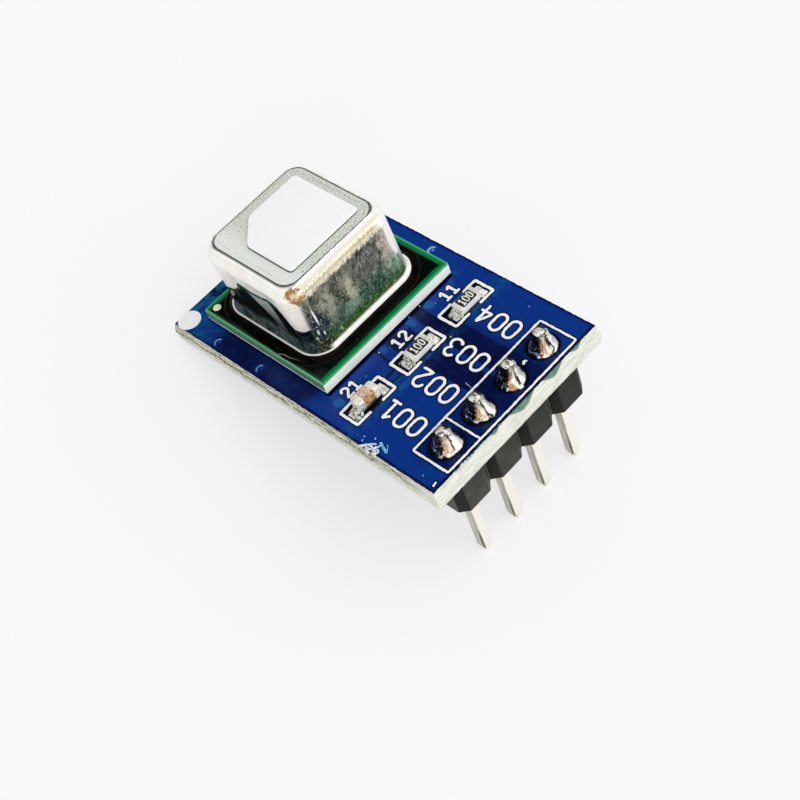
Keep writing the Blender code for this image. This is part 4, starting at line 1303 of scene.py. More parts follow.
def make_board(look):
    """Laminate with rough broken edges, a top mask with copper relief and an under mask.

    The laminate is rings of squares down the V-score's profile, moved along their normals by
    noise that a bell keeps to the torn middle of the thickness.
    """
    sides = 230
    turn = square_turn(sides, 2)
    profile = np.array(
        [(0.17, -0.045), (0.15, -0.05), (0.09, -0.2), (0.03, -0.4), (0.0, -0.5)]
        + [(0.0, -0.5 - 0.05 * k) for k in range(1, 12)]
        + [(0.0, -1.1), (0.03, -1.2), (0.09, -1.4), (0.15, -1.55), (0.17, -1.555)]
    )
    inset = profile[:, 0]
    middle_y = (NEAR_EDGE + FAR_EDGE) / 2
    half_y = (FAR_EDGE - NEAR_EDGE) / 2
    rings = square_rings(turn, BOARD_HALF - inset, half_y - inset, 0.05, profile[:, 1], (0, middle_y))
    run = np.where(np.abs(turn[2]) > 0.7, rings[..., 1], rings[..., 0])
    torn = bump_at(profile[:, 1], -0.8, 0.42)[:, None]
    level = rings[..., 2]
    ragged = drift(run * 1.7, level * 9, 1) + 0.7 * drift(run * 7, level * 22, 2) - 0.9
    shred = 0.055 * torn * ragged
    shred = shred + 0.012 * (drift(run * 5, level * 14, 3) - 1)
    rings[..., 0] += shred * turn[2]
    rings[..., 1] += shred * turn[3]
    skin = Skin()
    skin.add_rings(rings)
    skin.piece("board_laminate", [laminate_finish()], "blue_mask", ["circuit_board"], 60)
    mask = mask_finish(look)
    low_y = NEAR_EDGE + SCORE_RUN
    high_y = FAR_EDGE - SCORE_RUN
    fine = np.linspace(low_y, 8.2, 194)
    coarse = np.linspace(8.2, high_y, 130)[1:]
    top = Skin()
    mask_sheet(top, 0.0, 1, 0.051, np.concatenate([fine, coarse]), copper_and_shade_map)
    top.piece("mask_top", [mask], "blue_mask", attribute="copper")
    under = Skin()
    mask_sheet(under, -BOARD_THICK, -1, 0.13, np.linspace(low_y + 0.1, high_y - 0.1, 160), under_copper, 0.1)
    under.piece("mask_under", [mask], "blue_mask", attribute="copper")


def under_copper(x, y):
    """Copper on the far side: one pour with clearances at the pins and two crossing traces."""
    bare = np.zeros(np.broadcast(x, y).shape)
    for middle in PIN_ROW:
        bare = np.maximum(bare, ease(np.hypot(x - middle, y), 1.2, 1.1))
    for path in ([(-1.27, 0), (-1.27, 9), (0.6, 12)], [(3.81, 0), (3.81, 14), (1, 17)]):
        bare = np.maximum(bare, bump_at(from_path(x, y, path), 0.28, 0.07))
    return 1 - bare


def box_path(x0, x1, y0, y1):
    """The four corners of a box, counter-clockwise."""
    return np.array([[x0, y0], [x1, y0], [x1, y1], [x0, y1]])


# Crumbs of ink off the lines: place and width
INK_CRUMBS = [
    (1.6, 4.73, 0.05),
    (5.5, 2.42, 0.03),
    (2.9, 7.12, 0.035),
    (2.3, 7.76, 0.05),
    (1.4, 7.74, 0.04),
    (-1.35, 7.42, 0.035),
]

# How far the painted shadow round the print reaches past the ink on each side
PRINT_SHADOW_REACH = 0.085

# Plain numbers by the pins and by the chip parts, each with the x where it begins
PIN_NUMBERS = {"001": -3.24, "002": -0.72, "003": 1.76, "004": 4.38}
PART_NUMBERS = {"11": 3.4, "12": -0.52, "21": -4.52}


def make_print(look):
    """White print with a painted shadow: the same strokes, once as ink and once wider below it as dark
    painted shadow.
    """
    print_marks(look, Skin(), 0.0, 0.032).piece("board_print", [ink_finish()], "blue_mask")
    # The wider, lower copy of the strokes is a dark painted shadow round the print
    print_marks(look, Skin(), 2 * PRINT_SHADOW_REACH, 0.02).piece("painted_print_shadow", [print_shadow_finish()], "blue_mask")


def print_marks(look, skin, extra, high):
    """Pin box, part outlines, plain numbers and short lines, each wider by the extra.

    The corner dot, a hair line and the crumbs have no painted shadow, so only the ink has them.
    """
    ink = look.ink_width / MM + extra
    low = -0.012
    stroke(skin, box_path(-5.05, 5.08, -1.25, 1.27), ink - 0.045, low, high, True, 1)
    stroke(skin, [(-2.54, -1.2), (-2.54, 1.22)], ink - 0.055, low, high, seed=2)
    bottom, top = 4.96, 6.33
    for seed, (left, right) in enumerate(((2.32, 5.36), (-1.58, 1.42), (-5.52, -2.58)), start=3):
        middle = (left + right) / 2
        first = [(middle - 0.5, bottom), (left, bottom), (left, top), (middle - 0.55, top)]
        second = [(middle + 0.52, bottom), (right, bottom), (right, top), (middle + 0.57, top)]
        stroke(skin, first, ink, low, high, seed=seed)
        stroke(skin, second, ink, low, high, seed=seed + 9)
    for seed, (label, x) in enumerate(PIN_NUMBERS.items(), start=30):
        corner = (x, 1.82)
        write_number(skin, label, corner, (0, 1), (-1, 0), 1.2, 0.68, 0.99, ink - 0.01, low, high, seed * 5)
    for seed, (label, x) in enumerate(PART_NUMBERS.items(), start=50):
        corner = (x, 6.68)
        write_number(skin, label, corner, (1, 0), (0, 1), 0.74, 0.42, 0.6, ink - 0.02, low, high, seed * 7)
    stroke(skin, [(5.13, 8.6), (5.13, 17.7)], 0.1 + extra, low, high, seed=71, wobble=0.01)
    stroke(skin, [(-6.06, -1.16), (-5.86, -1.12)], 0.13 + extra, low, high, seed=72)
    stroke(skin, [(2.36, 0.08), (2.5, 0.2), (2.56, 0.1)], 0.15 + extra, low, high, seed=74)
    if not extra:
        prism(skin, arc_path((-5.72, 19.0), (0.71, 0.71), 0, 360, 61)[:-1], low, low + high, 0.012)
        stroke(skin, [(-0.36, 1.42), (-0.3, 1.7), (-0.27, 1.9)], 0.02, low, high, seed=75, wobble=0.003)
        for seed, (x, y, width) in enumerate(INK_CRUMBS, start=200):
            stroke(skin, [(x, y), (x + 0.03, y + 0.025)], width, low, high, seed=seed)
    return skin


# Shavings by the long edge: points and width
EDGE_CURLS = [
    (
        [
            (-6.5, 2.6),
            (-6.25, 2.95),
            (-6.1, 3.35),
            (-6.2, 3.7),
            (-6.35, 3.55),
            (-6.28, 3.2),
            (-6.0, 3.0),
            (-5.85, 2.95),
        ],
        0.09,
    ),
    ([(-6.45, 3.9), (-6.2, 3.62), (-6.02, 3.42), (-5.9, 3.2)], 0.08),
    ([(-6.42, 2.95), (-6.22, 2.72), (-6.05, 2.8), (-6.3, 3.05)], 0.09),
    ([(-6.5, 3.2), (-6.42, 3.45), (-6.32, 3.3)], 0.11),
]

# Cyan specks of mask: place and width
EDGE_SPECKS = [
    (-6.12, 4.0, 0.06),
    (-5.88, 4.12, 0.04),
    (-5.66, 3.5, 0.06),
    (-5.98, 4.5, 0.035),
    (-5.93, -0.28, 0.05),
    (-2.95, 6.9, 0.04),
]


def make_debris():
    """Curled shavings and specks stuck by the long edge: domed strokes along short paths."""
    skin = Skin()
    for seed, (path, width) in enumerate(EDGE_CURLS, start=90):
        stroke(skin, path, width, 0.0, 0.09, seed=seed, wobble=0.02)
    white = debris_finish("white_curl", (0.6, 0.7, 0.75), (0.9, 0.92, 0.9))
    skin.piece("edge_curls", [white], "blue_mask")
    smear = Skin()
    stroke(smear, [(-5.88, 2.5), (-5.78, 2.75), (-5.66, 3.0)], 0.17, 0.0, 0.05, seed=140, wobble=0.05)
    stroke(smear, [(-5.95, 2.42), (-5.75, 2.5), (-5.6, 2.62)], 0.13, 0.0, 0.04, seed=141, wobble=0.05)
    for seed, (x, y, width) in enumerate(EDGE_SPECKS, start=120):
        stroke(smear, [(x, y), (x + width, y + 0.4 * width)], width, 0.0, 0.03, seed=seed, wobble=0.02)
    cyan = debris_finish("cyan_smear", (0.05, 0.4, 0.65), (0.3, 0.75, 0.9))
    smear.piece("edge_smear", [cyan], "blue_mask")


def header_outline():
    """Plan of the insulator: a block a pin with a V between blocks, as an even rounded path."""
    depth, notch, block = 1.24, 0.5, PITCH / 2
    front = []
    for x in PIN_ROW:
        front += [(x - block, -depth + notch), (x - block + notch, -depth), (x + block - notch, -depth)]
    front.append((PIN_ROW[-1] + block, -depth + notch))
    corners = np.array(front + [(x, -y) for x, y in reversed(front)])
    return rounded_path(corners, 0.04, 2, True)


def make_header():
    """Insulator: a plate on the blocks' outline, from the seat up to the board."""
    skin = Skin()
    prism(skin, header_outline(), -SEAT_DEPTH, HEADER_TOP, 0.07)
    skin.piece("header_body", [nylon_finish()], "header_plastic", ["header_insulator"], 40)


def make_pins(look):
    """Square wires: rings of rounded squares that end in a soft dome above and a blunt point below."""
    finish = pin_finish(look)
    low = PIN_LOW
    shank = np.linspace(low + 1, 0.96, 24)
    height = np.concatenate([[low, low + 0.03], np.linspace(low + 0.1, low + 0.5, 6), shank])
    half = np.interp(height, [low, low + 0.03, low + 0.5], [0.15, 0.175, PIN_HALF])
    radius = np.full(height.shape, 0.055)
    turned = np.linspace(0.1, math.pi / 2, 8)
    height = np.concatenate([height, 0.98 + (PIN_HIGH - 0.98) * np.sin(turned)])
    half = np.concatenate([half, 0.09 + (PIN_HALF - 0.09) * np.cos(turned) ** 0.8])
    radius = np.concatenate([radius, np.minimum(half[-8:] * 0.9, 0.055 + 0.2 * np.sin(turned))])
    turn = square_turn(6, 4)
    for index, x in enumerate(PIN_ROW, start=1):
        bend = 0.012 * drift(height * 0.3, index, 11)
        rings = square_rings(turn, half, half, radius, height, (x, 0))
        rings[..., 0] += bend[:, None]
        skin = Skin()
        skin.add_rings(rings)
        skin.piece(f"pin_wire_{index}", [finish], "pin_metal", [f"header_pin_{index}"], 50)


def make_cones(look):
    """Solder cones: the radius falls as (1 - v)^p from the base to the pin's collar, p near 2.

    The section turns from a circle into the pin's rounded square. Sine lumps run round it,
    and a few folds, bells across the angle, run up it.
    """
    finish = solder_finish(look)
    v = np.concatenate([[0, 0], np.linspace(0, 1, 34) ** 1.15, [1.0, 1.0]])
    z = np.concatenate([[-0.03, -0.01], 0.012 + 1.12 * np.linspace(0, 1, 34) ** 1.15, [1.16, 1.17]])
    shrink = np.concatenate([[0, 0], np.zeros(34), [0.05, 0.12]])
    px, py, nx, ny = square_turn(10, 8)
    angle = np.arctan2(py * 0.8 + ny, px * 0.8 + nx)
    collar = 0.42
    for index, x in enumerate(PIN_ROW, start=1):
        base = 0.86 + 0.05 * np.sin(2 * angle + index * 1.9) + 0.035 * np.sin(3 * angle + index * 2.7)
        base = base + 0.02 * np.sin(7 * angle + index)
        fall = (1 - v)[:, None] ** (2.1 + 0.25 * np.sin(angle + index * 1.3))
        half = collar + (base - collar) * fall - shrink[:, None]
        lump = 0.05 * drift(np.cos(angle) * 2 + 5 * index, np.sin(angle) * 2 + v[:, None] * 2.2, 21)
        lump = lump + 0.035 * drift(angle * 3.2 / math.pi * 2 + index, v[:, None] * 1.5, 22)
        for fold in range(4):
            at = -2.5 + 1.35 * fold + 0.45 * math.sin(index * 2.3 + fold)
            lump = lump - 0.055 * bump_at(angle, at, 0.2) * (0.4 + v[:, None])
        swell = np.sin(math.pi * np.clip(v * 0.95 + 0.03, 0, 1))[:, None]
        half = half + lump * swell
        radius = half * (1 - v[:, None]) + 0.25 * v[:, None]
        across = x + (half - radius) * px + radius * nx
        deep = (half - radius) * py + radius * ny
        skin = Skin()
        skin.add_rings(np.stack([across, deep, np.broadcast_to(z[:, None], across.shape)], -1))
        skin.piece(f"solder_cone_{index}", [finish], "solder", [f"pin_solder_{index}"], 60)


def make_substrate():
    """Sensor substrate: a rounded box, with a gilt disc in its pin-1 corner."""
    skin = Skin()
    size = (2 * SENSOR_HALF, 2 * SENSOR_HALF)
    turn = square_turn(90, 4)
    soft_box(skin, (0, SENSOR_Y), size, SENSOR_LOW, SENSOR_TOP, 0.035, 0.1, turn=turn)
    skin.piece("substrate_body", [substrate_finish()], "green_mask", ["sensor_substrate"], 40)
    mark = Skin()
    disc = arc_path(GILT_MARK, (0.25, 0.25), 0, 360, 41)[:-1]
    prism(mark, disc, SENSOR_TOP - 0.02, SENSOR_TOP + 0.015, 0.02, bulge=0.02)
    mark.piece("gilt_mark", [gold_finish()], "green_mask", sharp=70)


def make_sealant():
    """Sealant: a loop section carried round the can, thick at the flange, thin at its rim.

    The outer rim wanders by smooth noise along the way round, and runs wider on the left.
    """
    turn = square_turn(60, 16)
    count = len(turn[0])
    way = np.arange(count) / count
    wander = 0.05 * np.sin(way * 31) * drift(way * 13, 0, 31) + 0.035 * drift(way * 40, 3, 32)
    reach = np.array([4.12, 4.12, 4.2, 4.24, 4.34, 4.48, 4.62, 4.7, 4.72])
    height = np.array([0.9, 1.03, 1.055, 1.03, 0.985, 0.955, 0.94, 0.915, 0.885])
    share = np.clip((reach - 4.2) / 0.52, 0, 1)[:, None]
    half = reach[:, None] + wander[None] * share
    corner = 1.6 + (reach[:, None] - 4.2)
    px, py, nx, ny = turn
    spread = 0.16 * share * ease(-nx, 0.4, 1.0) * ease(-py, -1.0, 0.6)
    x = CAN_X + (half - corner) * px + (corner + spread) * nx
    y = CAN_Y + (half - corner) * py + corner * ny
    ripple = 0.012 * drift(way * 90, reach[:, None] * 4, 33) * share
    z = height[:, None] + ripple
    skin = Skin()
    skin.add_rings(np.stack([x, y, np.broadcast_to(z, x.shape)], -1), looped=True)
    skin.piece("sealant_film", [sealant_finish()], "sealant", ["sealing_bead"], 60)


def can_profile():
    """Half-size, corner radius and height of the can's closed section, outside then inside.

    Outside it runs from the vent over the flat top, a groove at the crease, the shoulder's
    quarter ellipse, the wall and the foot's quarter round to the flange's rim. The inside
    is the same line one sheet thickness in.
    """
    vent, flat, wall, flange, sheet = 1.0, 3.42, 3.91, 4.21, 0.12
    outer = [(vent, CAN_TOP), (1.8, CAN_TOP), (2.6, CAN_TOP), (3.1, CAN_TOP), (3.26, CAN_TOP)]
    groove = [(3.3, 0.004), (3.33, 0.022), (3.36, 0.026), (3.385, 0.012), (3.41, 0.014), (3.435, 0.034)]
    outer += [(half, CAN_TOP - drop) for half, drop in groove]
    crease = math.radians(30)
    for angle in np.linspace(crease, math.pi / 2, 16)[1:]:
        share = (math.sin(angle) - math.sin(crease)) / (1 - math.sin(crease))
        drop = 0.87 * (1 - math.cos(angle) / math.cos(crease))
        outer.append((flat + 0.03 + (wall - flat - 0.03) * share, CAN_TOP - 0.034 - drop))
    outer += [(wall, z) for z in np.linspace(4.95, 1.4, 26)]
    for angle in np.linspace(0, math.pi / 2, 7)[1:]:
        outer.append((wall + 0.26 * (1 - math.cos(angle)), CAN_LOW + sheet + 0.26 * (1 - math.sin(angle))))
    outer += [(flange - 0.015, CAN_LOW + sheet), (flange, CAN_LOW + sheet - 0.015)]
    outer += [(flange, CAN_LOW + 0.015), (flange - 0.015, CAN_LOW)]
    inner = [(wall + 0.05, CAN_LOW), (wall - sheet, CAN_LOW + 0.12), (wall - sheet, 4.9)]
    inner += [(3.68, 5.5), (3.3, CAN_TOP - sheet), (vent, CAN_TOP - sheet)]
    return np.array(outer + inner)


def make_can(look):
    """Drawn can: its section carried round a rounded square, with shallow waves in the walls.

    Noise along the wall and up it, and a bell bowed inwards, move the walls along their
    normals. The top leans a little, growing smoothly from the flange up.
    """
    section = can_profile()
    half, height = section[:, :1], section[:, 1:]
    turn = square_turn(44, 18)
    px, py, nx, ny = turn
    corner = np.maximum(1.3 + half - 3.91, 0.25 * half)
    steep = ease(half, 3.2, 3.8) * ease(height, CAN_LOW + 0.2, CAN_LOW + 0.9)
    side = np.round(np.arctan2(ny, nx) / (math.pi / 2))
    sweep = px * np.abs(ny) + py * np.abs(nx)
    dent = look.can_dent / MM
    wave = 0.6 * drift(sweep * 1.6 + side * 7, height * 0.55, 41)
    wave = wave + 0.5 * drift(sweep * 3.4 + side * 5, height * 0.35, 42)
    bow = -0.8 * bump_at(sweep, 0, 0.75) * bump_at(height, 3.2, 1.6)
    moved = dent * steep * (wave + bow - 0.35)
    lean = ease(height, CAN_LOW, CAN_TOP) * ease(half, 1.0, 2.0)
    x = CAN_X + CAN_LEAN[0] * lean + (half + 0.06 * lean - corner) * px + (corner + moved) * nx
    y = CAN_Y + CAN_LEAN[1] * lean + (half - 0.06 * lean - corner) * py + (corner + moved) * ny
    skin = Skin()
    skin.add_rings(np.stack([x, y, np.broadcast_to(height, x.shape)], -1), looped=True)
    skin.piece("can_shell", [can_finish(look)], "can_metal", ["metal_can"], 50)


def make_film():
    """Vent film with its marking corner cut off, over a thin dark rim set towards the near left, a painted
    shadow.
    """
    half, cut = 2.6, 1.6
    corners = [(half, half), (cut - half, half), (-half, half - cut), (-half, -half), (half, -half)]
    outline = rounded_path(np.array(corners) + (CAN_X, CAN_Y + 0.05), 0.05, 24, True)
    film = Skin()
    prism(film, outline, 6.03, 6.12, 0.03)
    film.piece("vent_film", [film_finish()], "membrane", ["vent_membrane"], 40)
    # A thin dark plate under the film, moved towards the near left: a painted shadow
    rim_shadow_skin = Skin()
    prism(rim_shadow_skin, outline + (-0.05, -0.03), 5.99, 6.035, 0.01)
    rim_shadow_skin.piece("film_rim_shadow", [rim_shadow_finish()], "membrane", sharp=40)


def solder_pad(skin, inner, outer, half_y, rise, seed, finish=0):
    """Fillet on a pad: height falls as (1 - u)^2.4 from the chip's end, with slow ripples."""
    u, v = np.meshgrid(np.linspace(0, 1, 26), np.linspace(-1, 1, 24), indexing="ij")
    x = inner + (outer - inner) * u
    narrow = half_y * (1 - 0.1 * u**3) + 0.012 * drift(u * 4, seed, seed)
    y = CHIP_Y - 0.06 + narrow * v
    rim = np.minimum(ease(1 - np.abs(v), 0, 0.16), ease(1 - u, 0, 0.12))
    height = 0.045 + (rise - 0.045) * (1 - u) ** 2.4
    ripple = 0.05 * drift(u * 3 + seed, v * 2.3, seed) + 0.03 * drift(u * 6, v * 5 + seed, seed + 1)
    z = 0.01 + rim * (height * (1 - 0.25 * v**2) + ripple * (0.4 + u))
    skin.add_slab(np.stack([x, y, z], -1), -0.015, finish)


def make_resistor(name, code, finishes):
    """Chip resistor: white body, black glaze with its number, plated ends and fillets."""
    middle = CHIPS[name]
    white, black, cap, pads, ink = finishes
    body = Skin()
    seat_y = CHIP_Y - 0.06
    soft_box(body, (middle, seat_y), (1.3, 0.79), 0.02, 0.44, 0.02, 0.03)
    glaze = rounded_path(box_path(middle - 0.55, middle + 0.55, CHIP_Y - 0.44, CHIP_Y + 0.31), 0.05, 3, True)
    prism(body, glaze, 0.42, 0.462, 0.02, finish=1, bulge=0.008)
    corner = (middle - 0.43, CHIP_Y - 0.33)
    write_number(body, code, corner, (1, 0), (0, 1), 0.52, 0.21, 0.32, 0.085, 0.455, 0.022, 7, finish=2)
    body.piece(f"{name}_body", [white, black, ink], "resistor_body", [name], 40)
    for side, sign in (("left", -1), ("right", 1)):
        end = Skin()
        soft_box(end, (middle + sign * 0.69, seat_y), (0.24, 0.8), 0.02, 0.468, 0.05, 0.08)
        seed = 60 + len(name) + sign
        solder_pad(end, middle + sign * 0.76, middle + sign * 1.27, 0.44, 0.3, seed, finish=1)
        end.piece(f"{name}_end_{side}", [cap, pads[side]], "solder", [f"{name}_solder_{side}"], 60)


def make_capacitor(tan, caps, pads):
    """Chip capacitor: tan body between two plated ends that stand a little proud."""
    name = "capacitor"
    middle = CHIPS[name]
    body = Skin()
    soft_box(body, (middle, CHIP_Y), (0.8, 0.76), 0.02, 0.8, 0.04, 0.06)
    body.piece("capacitor_body", [tan], "capacitor_body", [name], 40)
    for side, sign in (("left", -1), ("right", 1)):
        end = Skin()
        turn = square_turn(6, 6)
        soft_box(end, (middle + sign * 0.54, CHIP_Y), (0.52, 0.82), 0.02, 0.83, 0.16, 0.2, turn=turn)
        solder_pad(end, middle + sign * 0.74, middle + sign * 1.27, 0.43, 0.4, 80 + sign, finish=1)
        finishes = [caps[side], pads[side]]
        end.piece(f"capacitor_end_{side}", finishes, "solder", [f"capacitor_solder_{side}"], 60)


def make_chips():
    """Both resistors and the capacitor, with the finishes that they share."""
    white = ceramic_finish("white_ceramic", (0.9, 0.88, 0.83), (0.98, 0.97, 0.94), 0.45)
    black = ceramic_finish("black_glaze", (0.004, 0.004, 0.004), (0.014, 0.013, 0.012), 0.35)
    tan = capacitor_finish()
    cap = plate_finish("chip_plate", (0.84, 0.82, 0.76), (0.98, 0.97, 0.94), 0.25, 0.25)
    # The left capacitor end has painted shade on its low part
    left = ("capacitor_plate_left", (0.86, 0.84, 0.74), (0.98, 0.97, 0.92), 0.25, 0.12, 0.3, 0.85)
    right = ("capacitor_plate_right", (0.9, 0.85, 0.76), (0.98, 0.96, 0.92), 0.25, 0.12, 0.15)
    caps = {"left": plate_finish(*left), "right": plate_finish(*right)}
    # The left pads are a shaded copy of the solder, with more painted dark reflections, and the right pads a
    # lit copy
    left = ("pad_solder_left", (0.5, 0.51, 0.4), (0.93, 0.93, 0.85), 0.24, 0.15, 1.0)
    right = ("pad_solder_lit_right", (0.86, 0.85, 0.78), (0.98, 0.97, 0.93), 0.22, 0.12, 0.5)
    pads = {"left": plate_finish(*left), "right": plate_finish(*right)}
    code_ink = debris_finish("code_ink", (0.8, 0.81, 0.78), (0.95, 0.95, 0.94))
    finishes = (white, black, cap, pads, code_ink)
    make_resistor("resistor_1", "100", finishes)
    make_resistor("resistor_2", "100", finishes)
    make_capacitor(tan, caps, pads)


def dress_hidden():
    """Finishes for the solids that stay: lands under the substrate and the measuring cell."""
    land = plate_finish("land_solder", (0.6, 0.59, 0.56), (0.82, 0.81, 0.77), 0.25)
    lid = plate_finish("cell_lid", (0.58, 0.56, 0.5), (0.78, 0.76, 0.7), 0.3)
    epoxy = ceramic_finish("black_epoxy", (0.012, 0.012, 0.012), (0.035, 0.034, 0.032), 0.5)
    finishes = {"sensor_centre_land": land, "infrared_emitter": lid, "microphone": lid}
    finishes.update({"humidity_chip": epoxy, "controller_chip": epoxy})
    finishes.update({f"sensor_land_{number:02d}": land for number in range(1, 21)})
    for name, finish in finishes.items():
        node = frame["nodes"][name]
        node.data.materials.clear()
        node.data.materials.append(finish)


def aim(obj, place, target):
    """Puts a lamp at a place, with its -Z towards the target."""
    obj.location = place
    obj.rotation_euler = (Vector(target) - Vector(place)).to_track_quat("-Z", "Y").to_euler()


def make_lamp(name, direction, distance, size, watts):
    """Soft rectangular lamp at a distance along a direction, aimed at the object's middle."""
    lamp = bpy.data.lights.new(name, "AREA")
    lamp.shape = "RECTANGLE"
    lamp.size, lamp.size_y = size
    lamp.energy = watts
    obj = bpy.data.objects.new(name, lamp)
    bpy.context.scene.collection.objects.link(obj)
    middle = Vector((0, 0, 0.005))
    aim(obj, middle + Vector(direction).normalized() * distance, middle)


def make_camera():
    """The photograph's camera, from its fitted eye and axes in the board's frame."""
    turn = Matrix.Rotation(-TILT, 3, "X")
    right = turn @ Vector(CAMERA_RIGHT)
    look = turn @ Vector(CAMERA_LOOK)
    up = right.cross(look)
    camera = bpy.data.cameras.new("camera")
    camera.lens = CAMERA_LENS
    camera.sensor_width = 36
    camera.clip_start = 0.001
    camera.clip_end = 10
    obj = bpy.data.objects.new("camera", camera)
    bpy.context.scene.collection.objects.link(obj)
    axes = Matrix((right, up, -look)).transposed().to_4x4()
    obj.matrix_world = Matrix.Translation(Vector(to_world(CAMERA_EYE))) @ axes
    bpy.context.scene.camera = obj


# Brightness of the wall behind the object, as the camera sees it
BACKDROP = 0.98


def make_world(studio):
    """Even soft light, a plain backdrop, and in reflections a white room with a dim far side."""
    world = bpy.data.worlds.new("studio")
    world.use_nodes = True
    bpy.context.scene.world = world
    sheet = Sheet("studio", world.node_tree)
    paths = sheet.node("ShaderNodeLightPath")
    sockets = paths.socket.node.outputs
    seen = Signal(sheet, sockets["Is Camera Ray"])
    mirrored = Signal(sheet, sockets["Is Glossy Ray"]).most(Signal(sheet, sockets["Is Transmission Ray"]))
    way = sheet.node("ShaderNodeTexCoord", output="Generated")
    product = {"operation": "DOT_PRODUCT"}
    far = sheet.node("ShaderNodeVectorMath", product, {0: way, 1: (0.31, 0.82, 0.47)}, "Value")
    side = sheet.node("ShaderNodeVectorMath", product, {0: way, 1: (-0.9, -0.1, 0.4)}, "Value")
    room = 1.0 - far.ease(0.66, 0.86) * studio.far_shade
    even = studio.world_light * (1.0 - side.ease(0.0, 0.8) * studio.side_shade)
    strength = (seen * BACKDROP).most(mirrored * room)
    strength = strength + (1.0 - seen.most(mirrored)) * even
    back = sheet.node("ShaderNodeBackground", sockets={"Color": (1.0, 1.0, 1.0), "Strength": strength})
    sheet.node("ShaderNodeOutputWorld", sockets={0: back})


def make_stage(studio):
    """Floor, world, lamps and camera."""
    half, lines = 3.0, 41
    line = np.linspace(-half, half, lines)
    x, y = np.meshgrid(line, line, indexing="ij")
    points = np.stack([x, y, np.zeros_like(x)], -1).reshape(-1, 3)
    mesh = bpy.data.meshes.new("floor")
    mesh.from_pydata(points.tolist(), [], grid_quads(lines, lines, False, False).tolist())
    mesh.materials.append(floor_finish(studio))
    floor = bpy.data.objects.new("floor", mesh)
    bpy.context.scene.collection.objects.link(floor)
    make_world(studio)
    make_lamp("key", (0.6, -0.55, 1.0), 0.6, (0.9, 0.9), studio.key_power)
    make_lamp("fill", (-0.75, -0.75, 0.6), 0.7, (0.6, 0.3), studio.fill_power)
    make_camera()
    bpy.context.scene.view_settings.view_transform = "Standard"


class BoardLook(bpy.types.PropertyGroup):
    """Sizes and colours of the pieces that a user would change."""

    bare_blue: FloatVectorProperty(
        name="Bare blue",
        description="Mask over bare laminate",
        subtype="COLOR",
        default=(0.0008, 0.005, 0.058),
    )
    copper_blue: FloatVectorProperty(
        name="Copper blue", description="Mask over copper", subtype="COLOR", default=(0.0004, 0.033, 0.25)
    )
    ink_width: FloatProperty(
        name="Ink width", description="Width of the printed lines", unit="LENGTH", default=0.19 * MM
    )
    # Colour of the painted highlight on the solder cones' right flank
    solder_highlight: FloatVectorProperty(
        name="Solder", description="Bright flowed solder", subtype="COLOR", default=(0.93, 0.91, 0.87)
    )
    pin_colour: FloatVectorProperty(
        name="Pin", description="Tinned wire", subtype="COLOR", default=(0.93, 0.9, 0.83)
    )
    can_colour: FloatVectorProperty(
        name="Can", description="Nickelled sheet", subtype="COLOR", default=(0.99, 0.98, 0.95)
    )
    can_dent: FloatProperty(
        name="Can waves",
        description="Depth of the waves in the can's walls",
        unit="LENGTH",
        default=0.035 * MM,
    )


class StudioLook(bpy.types.PropertyGroup):
    """Light and floor of the studio."""

    key_power: FloatProperty(name="Key", description="Power of the key lamp", unit="POWER", default=2.0)
    fill_power: FloatProperty(name="Fill", description="Power of the fill lamp", unit="POWER", default=0.9)
    world_light: FloatProperty(
        name="World light",
        description="Strength of the even light on matt surfaces",
        subtype="FACTOR",
        default=0.8,
    )
    far_shade: FloatProperty(
        name="Far shade",
        description="How far the room's far side is dimmed in reflections",
        subtype="FACTOR",
        default=0.97,
    )
    side_shade: FloatProperty(
        name="Side shade",
        description="How far the even light is dimmed on the left",
        subtype="FACTOR",
        default=0.25,
    )
    floor_glow: FloatProperty(
        name="Floor glow",
        description="Share of the floor that the camera sees without shadow",
        subtype="FACTOR",
        default=0.66,
    )
    floor_colour: FloatVectorProperty(
        name="Floor", description="Colour of the floor", subtype="COLOR", default=(0.93, 0.93, 0.93)
    )


class SENSORBOARD_OT_stage(bpy.types.Operator):
    """Floor, lamps, world and camera"""

    bl_idname = "sensor_board.stage"
    bl_label = "Studio"

    def execute(self, context):
        make_stage(context.scene.sensor_board_studio)
        return {"FINISHED"}


class SENSORBOARD_OT_board(bpy.types.Operator):
    """Laminate and solder mask"""

    bl_idname = "sensor_board.board"
    bl_label = "Board"

    def execute(self, context):
        make_board(context.scene.sensor_board)
        return {"FINISHED"}


class SENSORBOARD_OT_print(bpy.types.Operator):
    """White print and the marks on the board"""

    bl_idname = "sensor_board.print"
    bl_label = "Print and marks"

    def execute(self, context):
        make_print(context.scene.sensor_board)
        make_debris()
        return {"FINISHED"}


class SENSORBOARD_OT_header(bpy.types.Operator):
    """Header insulator and its four pins"""

    bl_idname = "sensor_board.header"
    bl_label = "Header"

    def execute(self, context):
        make_header()
        make_pins(context.scene.sensor_board)
        return {"FINISHED"}


class SENSORBOARD_OT_cones(bpy.types.Operator):
    """Solder cones of the pins"""

    bl_idname = "sensor_board.cones"
    bl_label = "Solder cones"

    def execute(self, context):
        make_cones(context.scene.sensor_board)
        return {"FINISHED"}


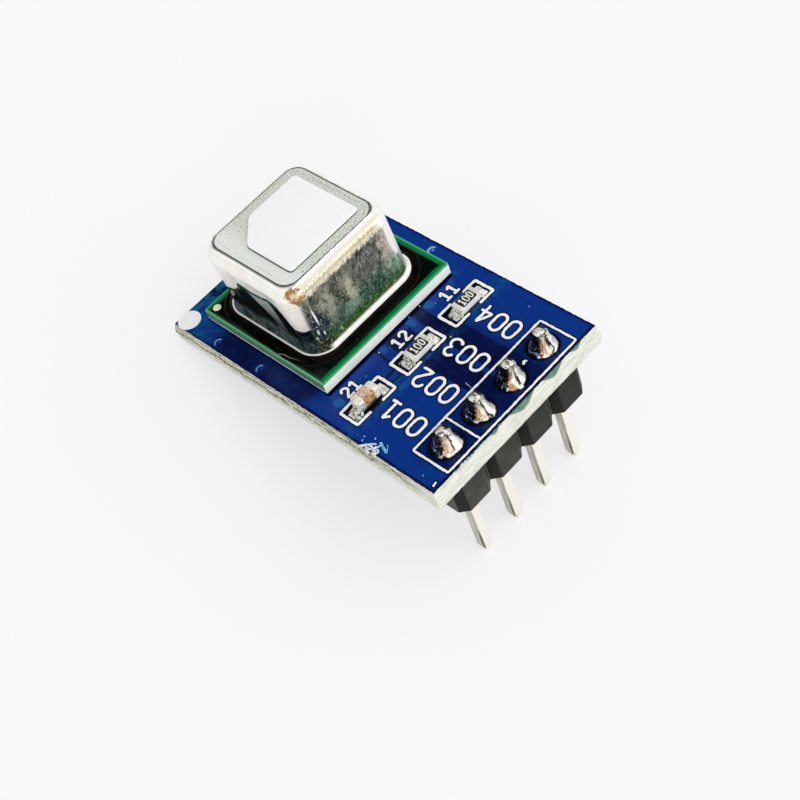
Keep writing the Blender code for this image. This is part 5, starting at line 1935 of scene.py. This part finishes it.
class SENSORBOARD_OT_sensor(bpy.types.Operator):
    """Substrate, sealant, can and vent film"""

    bl_idname = "sensor_board.sensor"
    bl_label = "Sensor"

    def execute(self, context):
        make_substrate()
        make_sealant()
        make_can(context.scene.sensor_board)
        make_film()
        return {"FINISHED"}


class SENSORBOARD_OT_chips(bpy.types.Operator):
    """Chip resistors and capacitor"""

    bl_idname = "sensor_board.chips"
    bl_label = "Chip parts"

    def execute(self, context):
        make_chips()
        return {"FINISHED"}


class SENSORBOARD_OT_hidden(bpy.types.Operator):
    """Finishes of the lands and of the measuring cell"""

    bl_idname = "sensor_board.hidden"
    bl_label = "Lands and cell"

    def execute(self, context):
        dress_hidden()
        return {"FINISHED"}


OPERATORS = (
    SENSORBOARD_OT_stage,
    SENSORBOARD_OT_board,
    SENSORBOARD_OT_print,
    SENSORBOARD_OT_header,
    SENSORBOARD_OT_cones,
    SENSORBOARD_OT_sensor,
    SENSORBOARD_OT_chips,
    SENSORBOARD_OT_hidden,
)


class SENSORBOARD_PT_panel(bpy.types.Panel):
    """Lists the settings and the pieces"""

    bl_idname = "SENSORBOARD_PT_panel"
    bl_label = "Sensor board"
    bl_space_type = "VIEW_3D"
    bl_region_type = "UI"
    bl_category = "Sensor board"

    def draw(self, context):
        for settings in (context.scene.sensor_board, context.scene.sensor_board_studio):
            for name in settings.__annotations__:
                self.layout.prop(settings, name)
        for operator in OPERATORS:
            self.layout.operator(operator.bl_idname)


CLASSES = (BoardLook, StudioLook, *OPERATORS, SENSORBOARD_PT_panel)


def register():
    for item in CLASSES:
        bpy.utils.register_class(item)
    bpy.types.Scene.sensor_board = PointerProperty(type=BoardLook)
    bpy.types.Scene.sensor_board_studio = PointerProperty(type=StudioLook)


def unregister():
    del bpy.types.Scene.sensor_board_studio
    del bpy.types.Scene.sensor_board
    for item in reversed(CLASSES):
        bpy.utils.unregister_class(item)


def main():
    """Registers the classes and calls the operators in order."""
    register()
    bpy.ops.sensor_board.stage()
    bpy.ops.sensor_board.board()
    bpy.ops.sensor_board.print()
    bpy.ops.sensor_board.header()
    bpy.ops.sensor_board.cones()
    bpy.ops.sensor_board.sensor()
    bpy.ops.sensor_board.chips()
    bpy.ops.sensor_board.hidden()


if __name__ == "__main__":
    main()
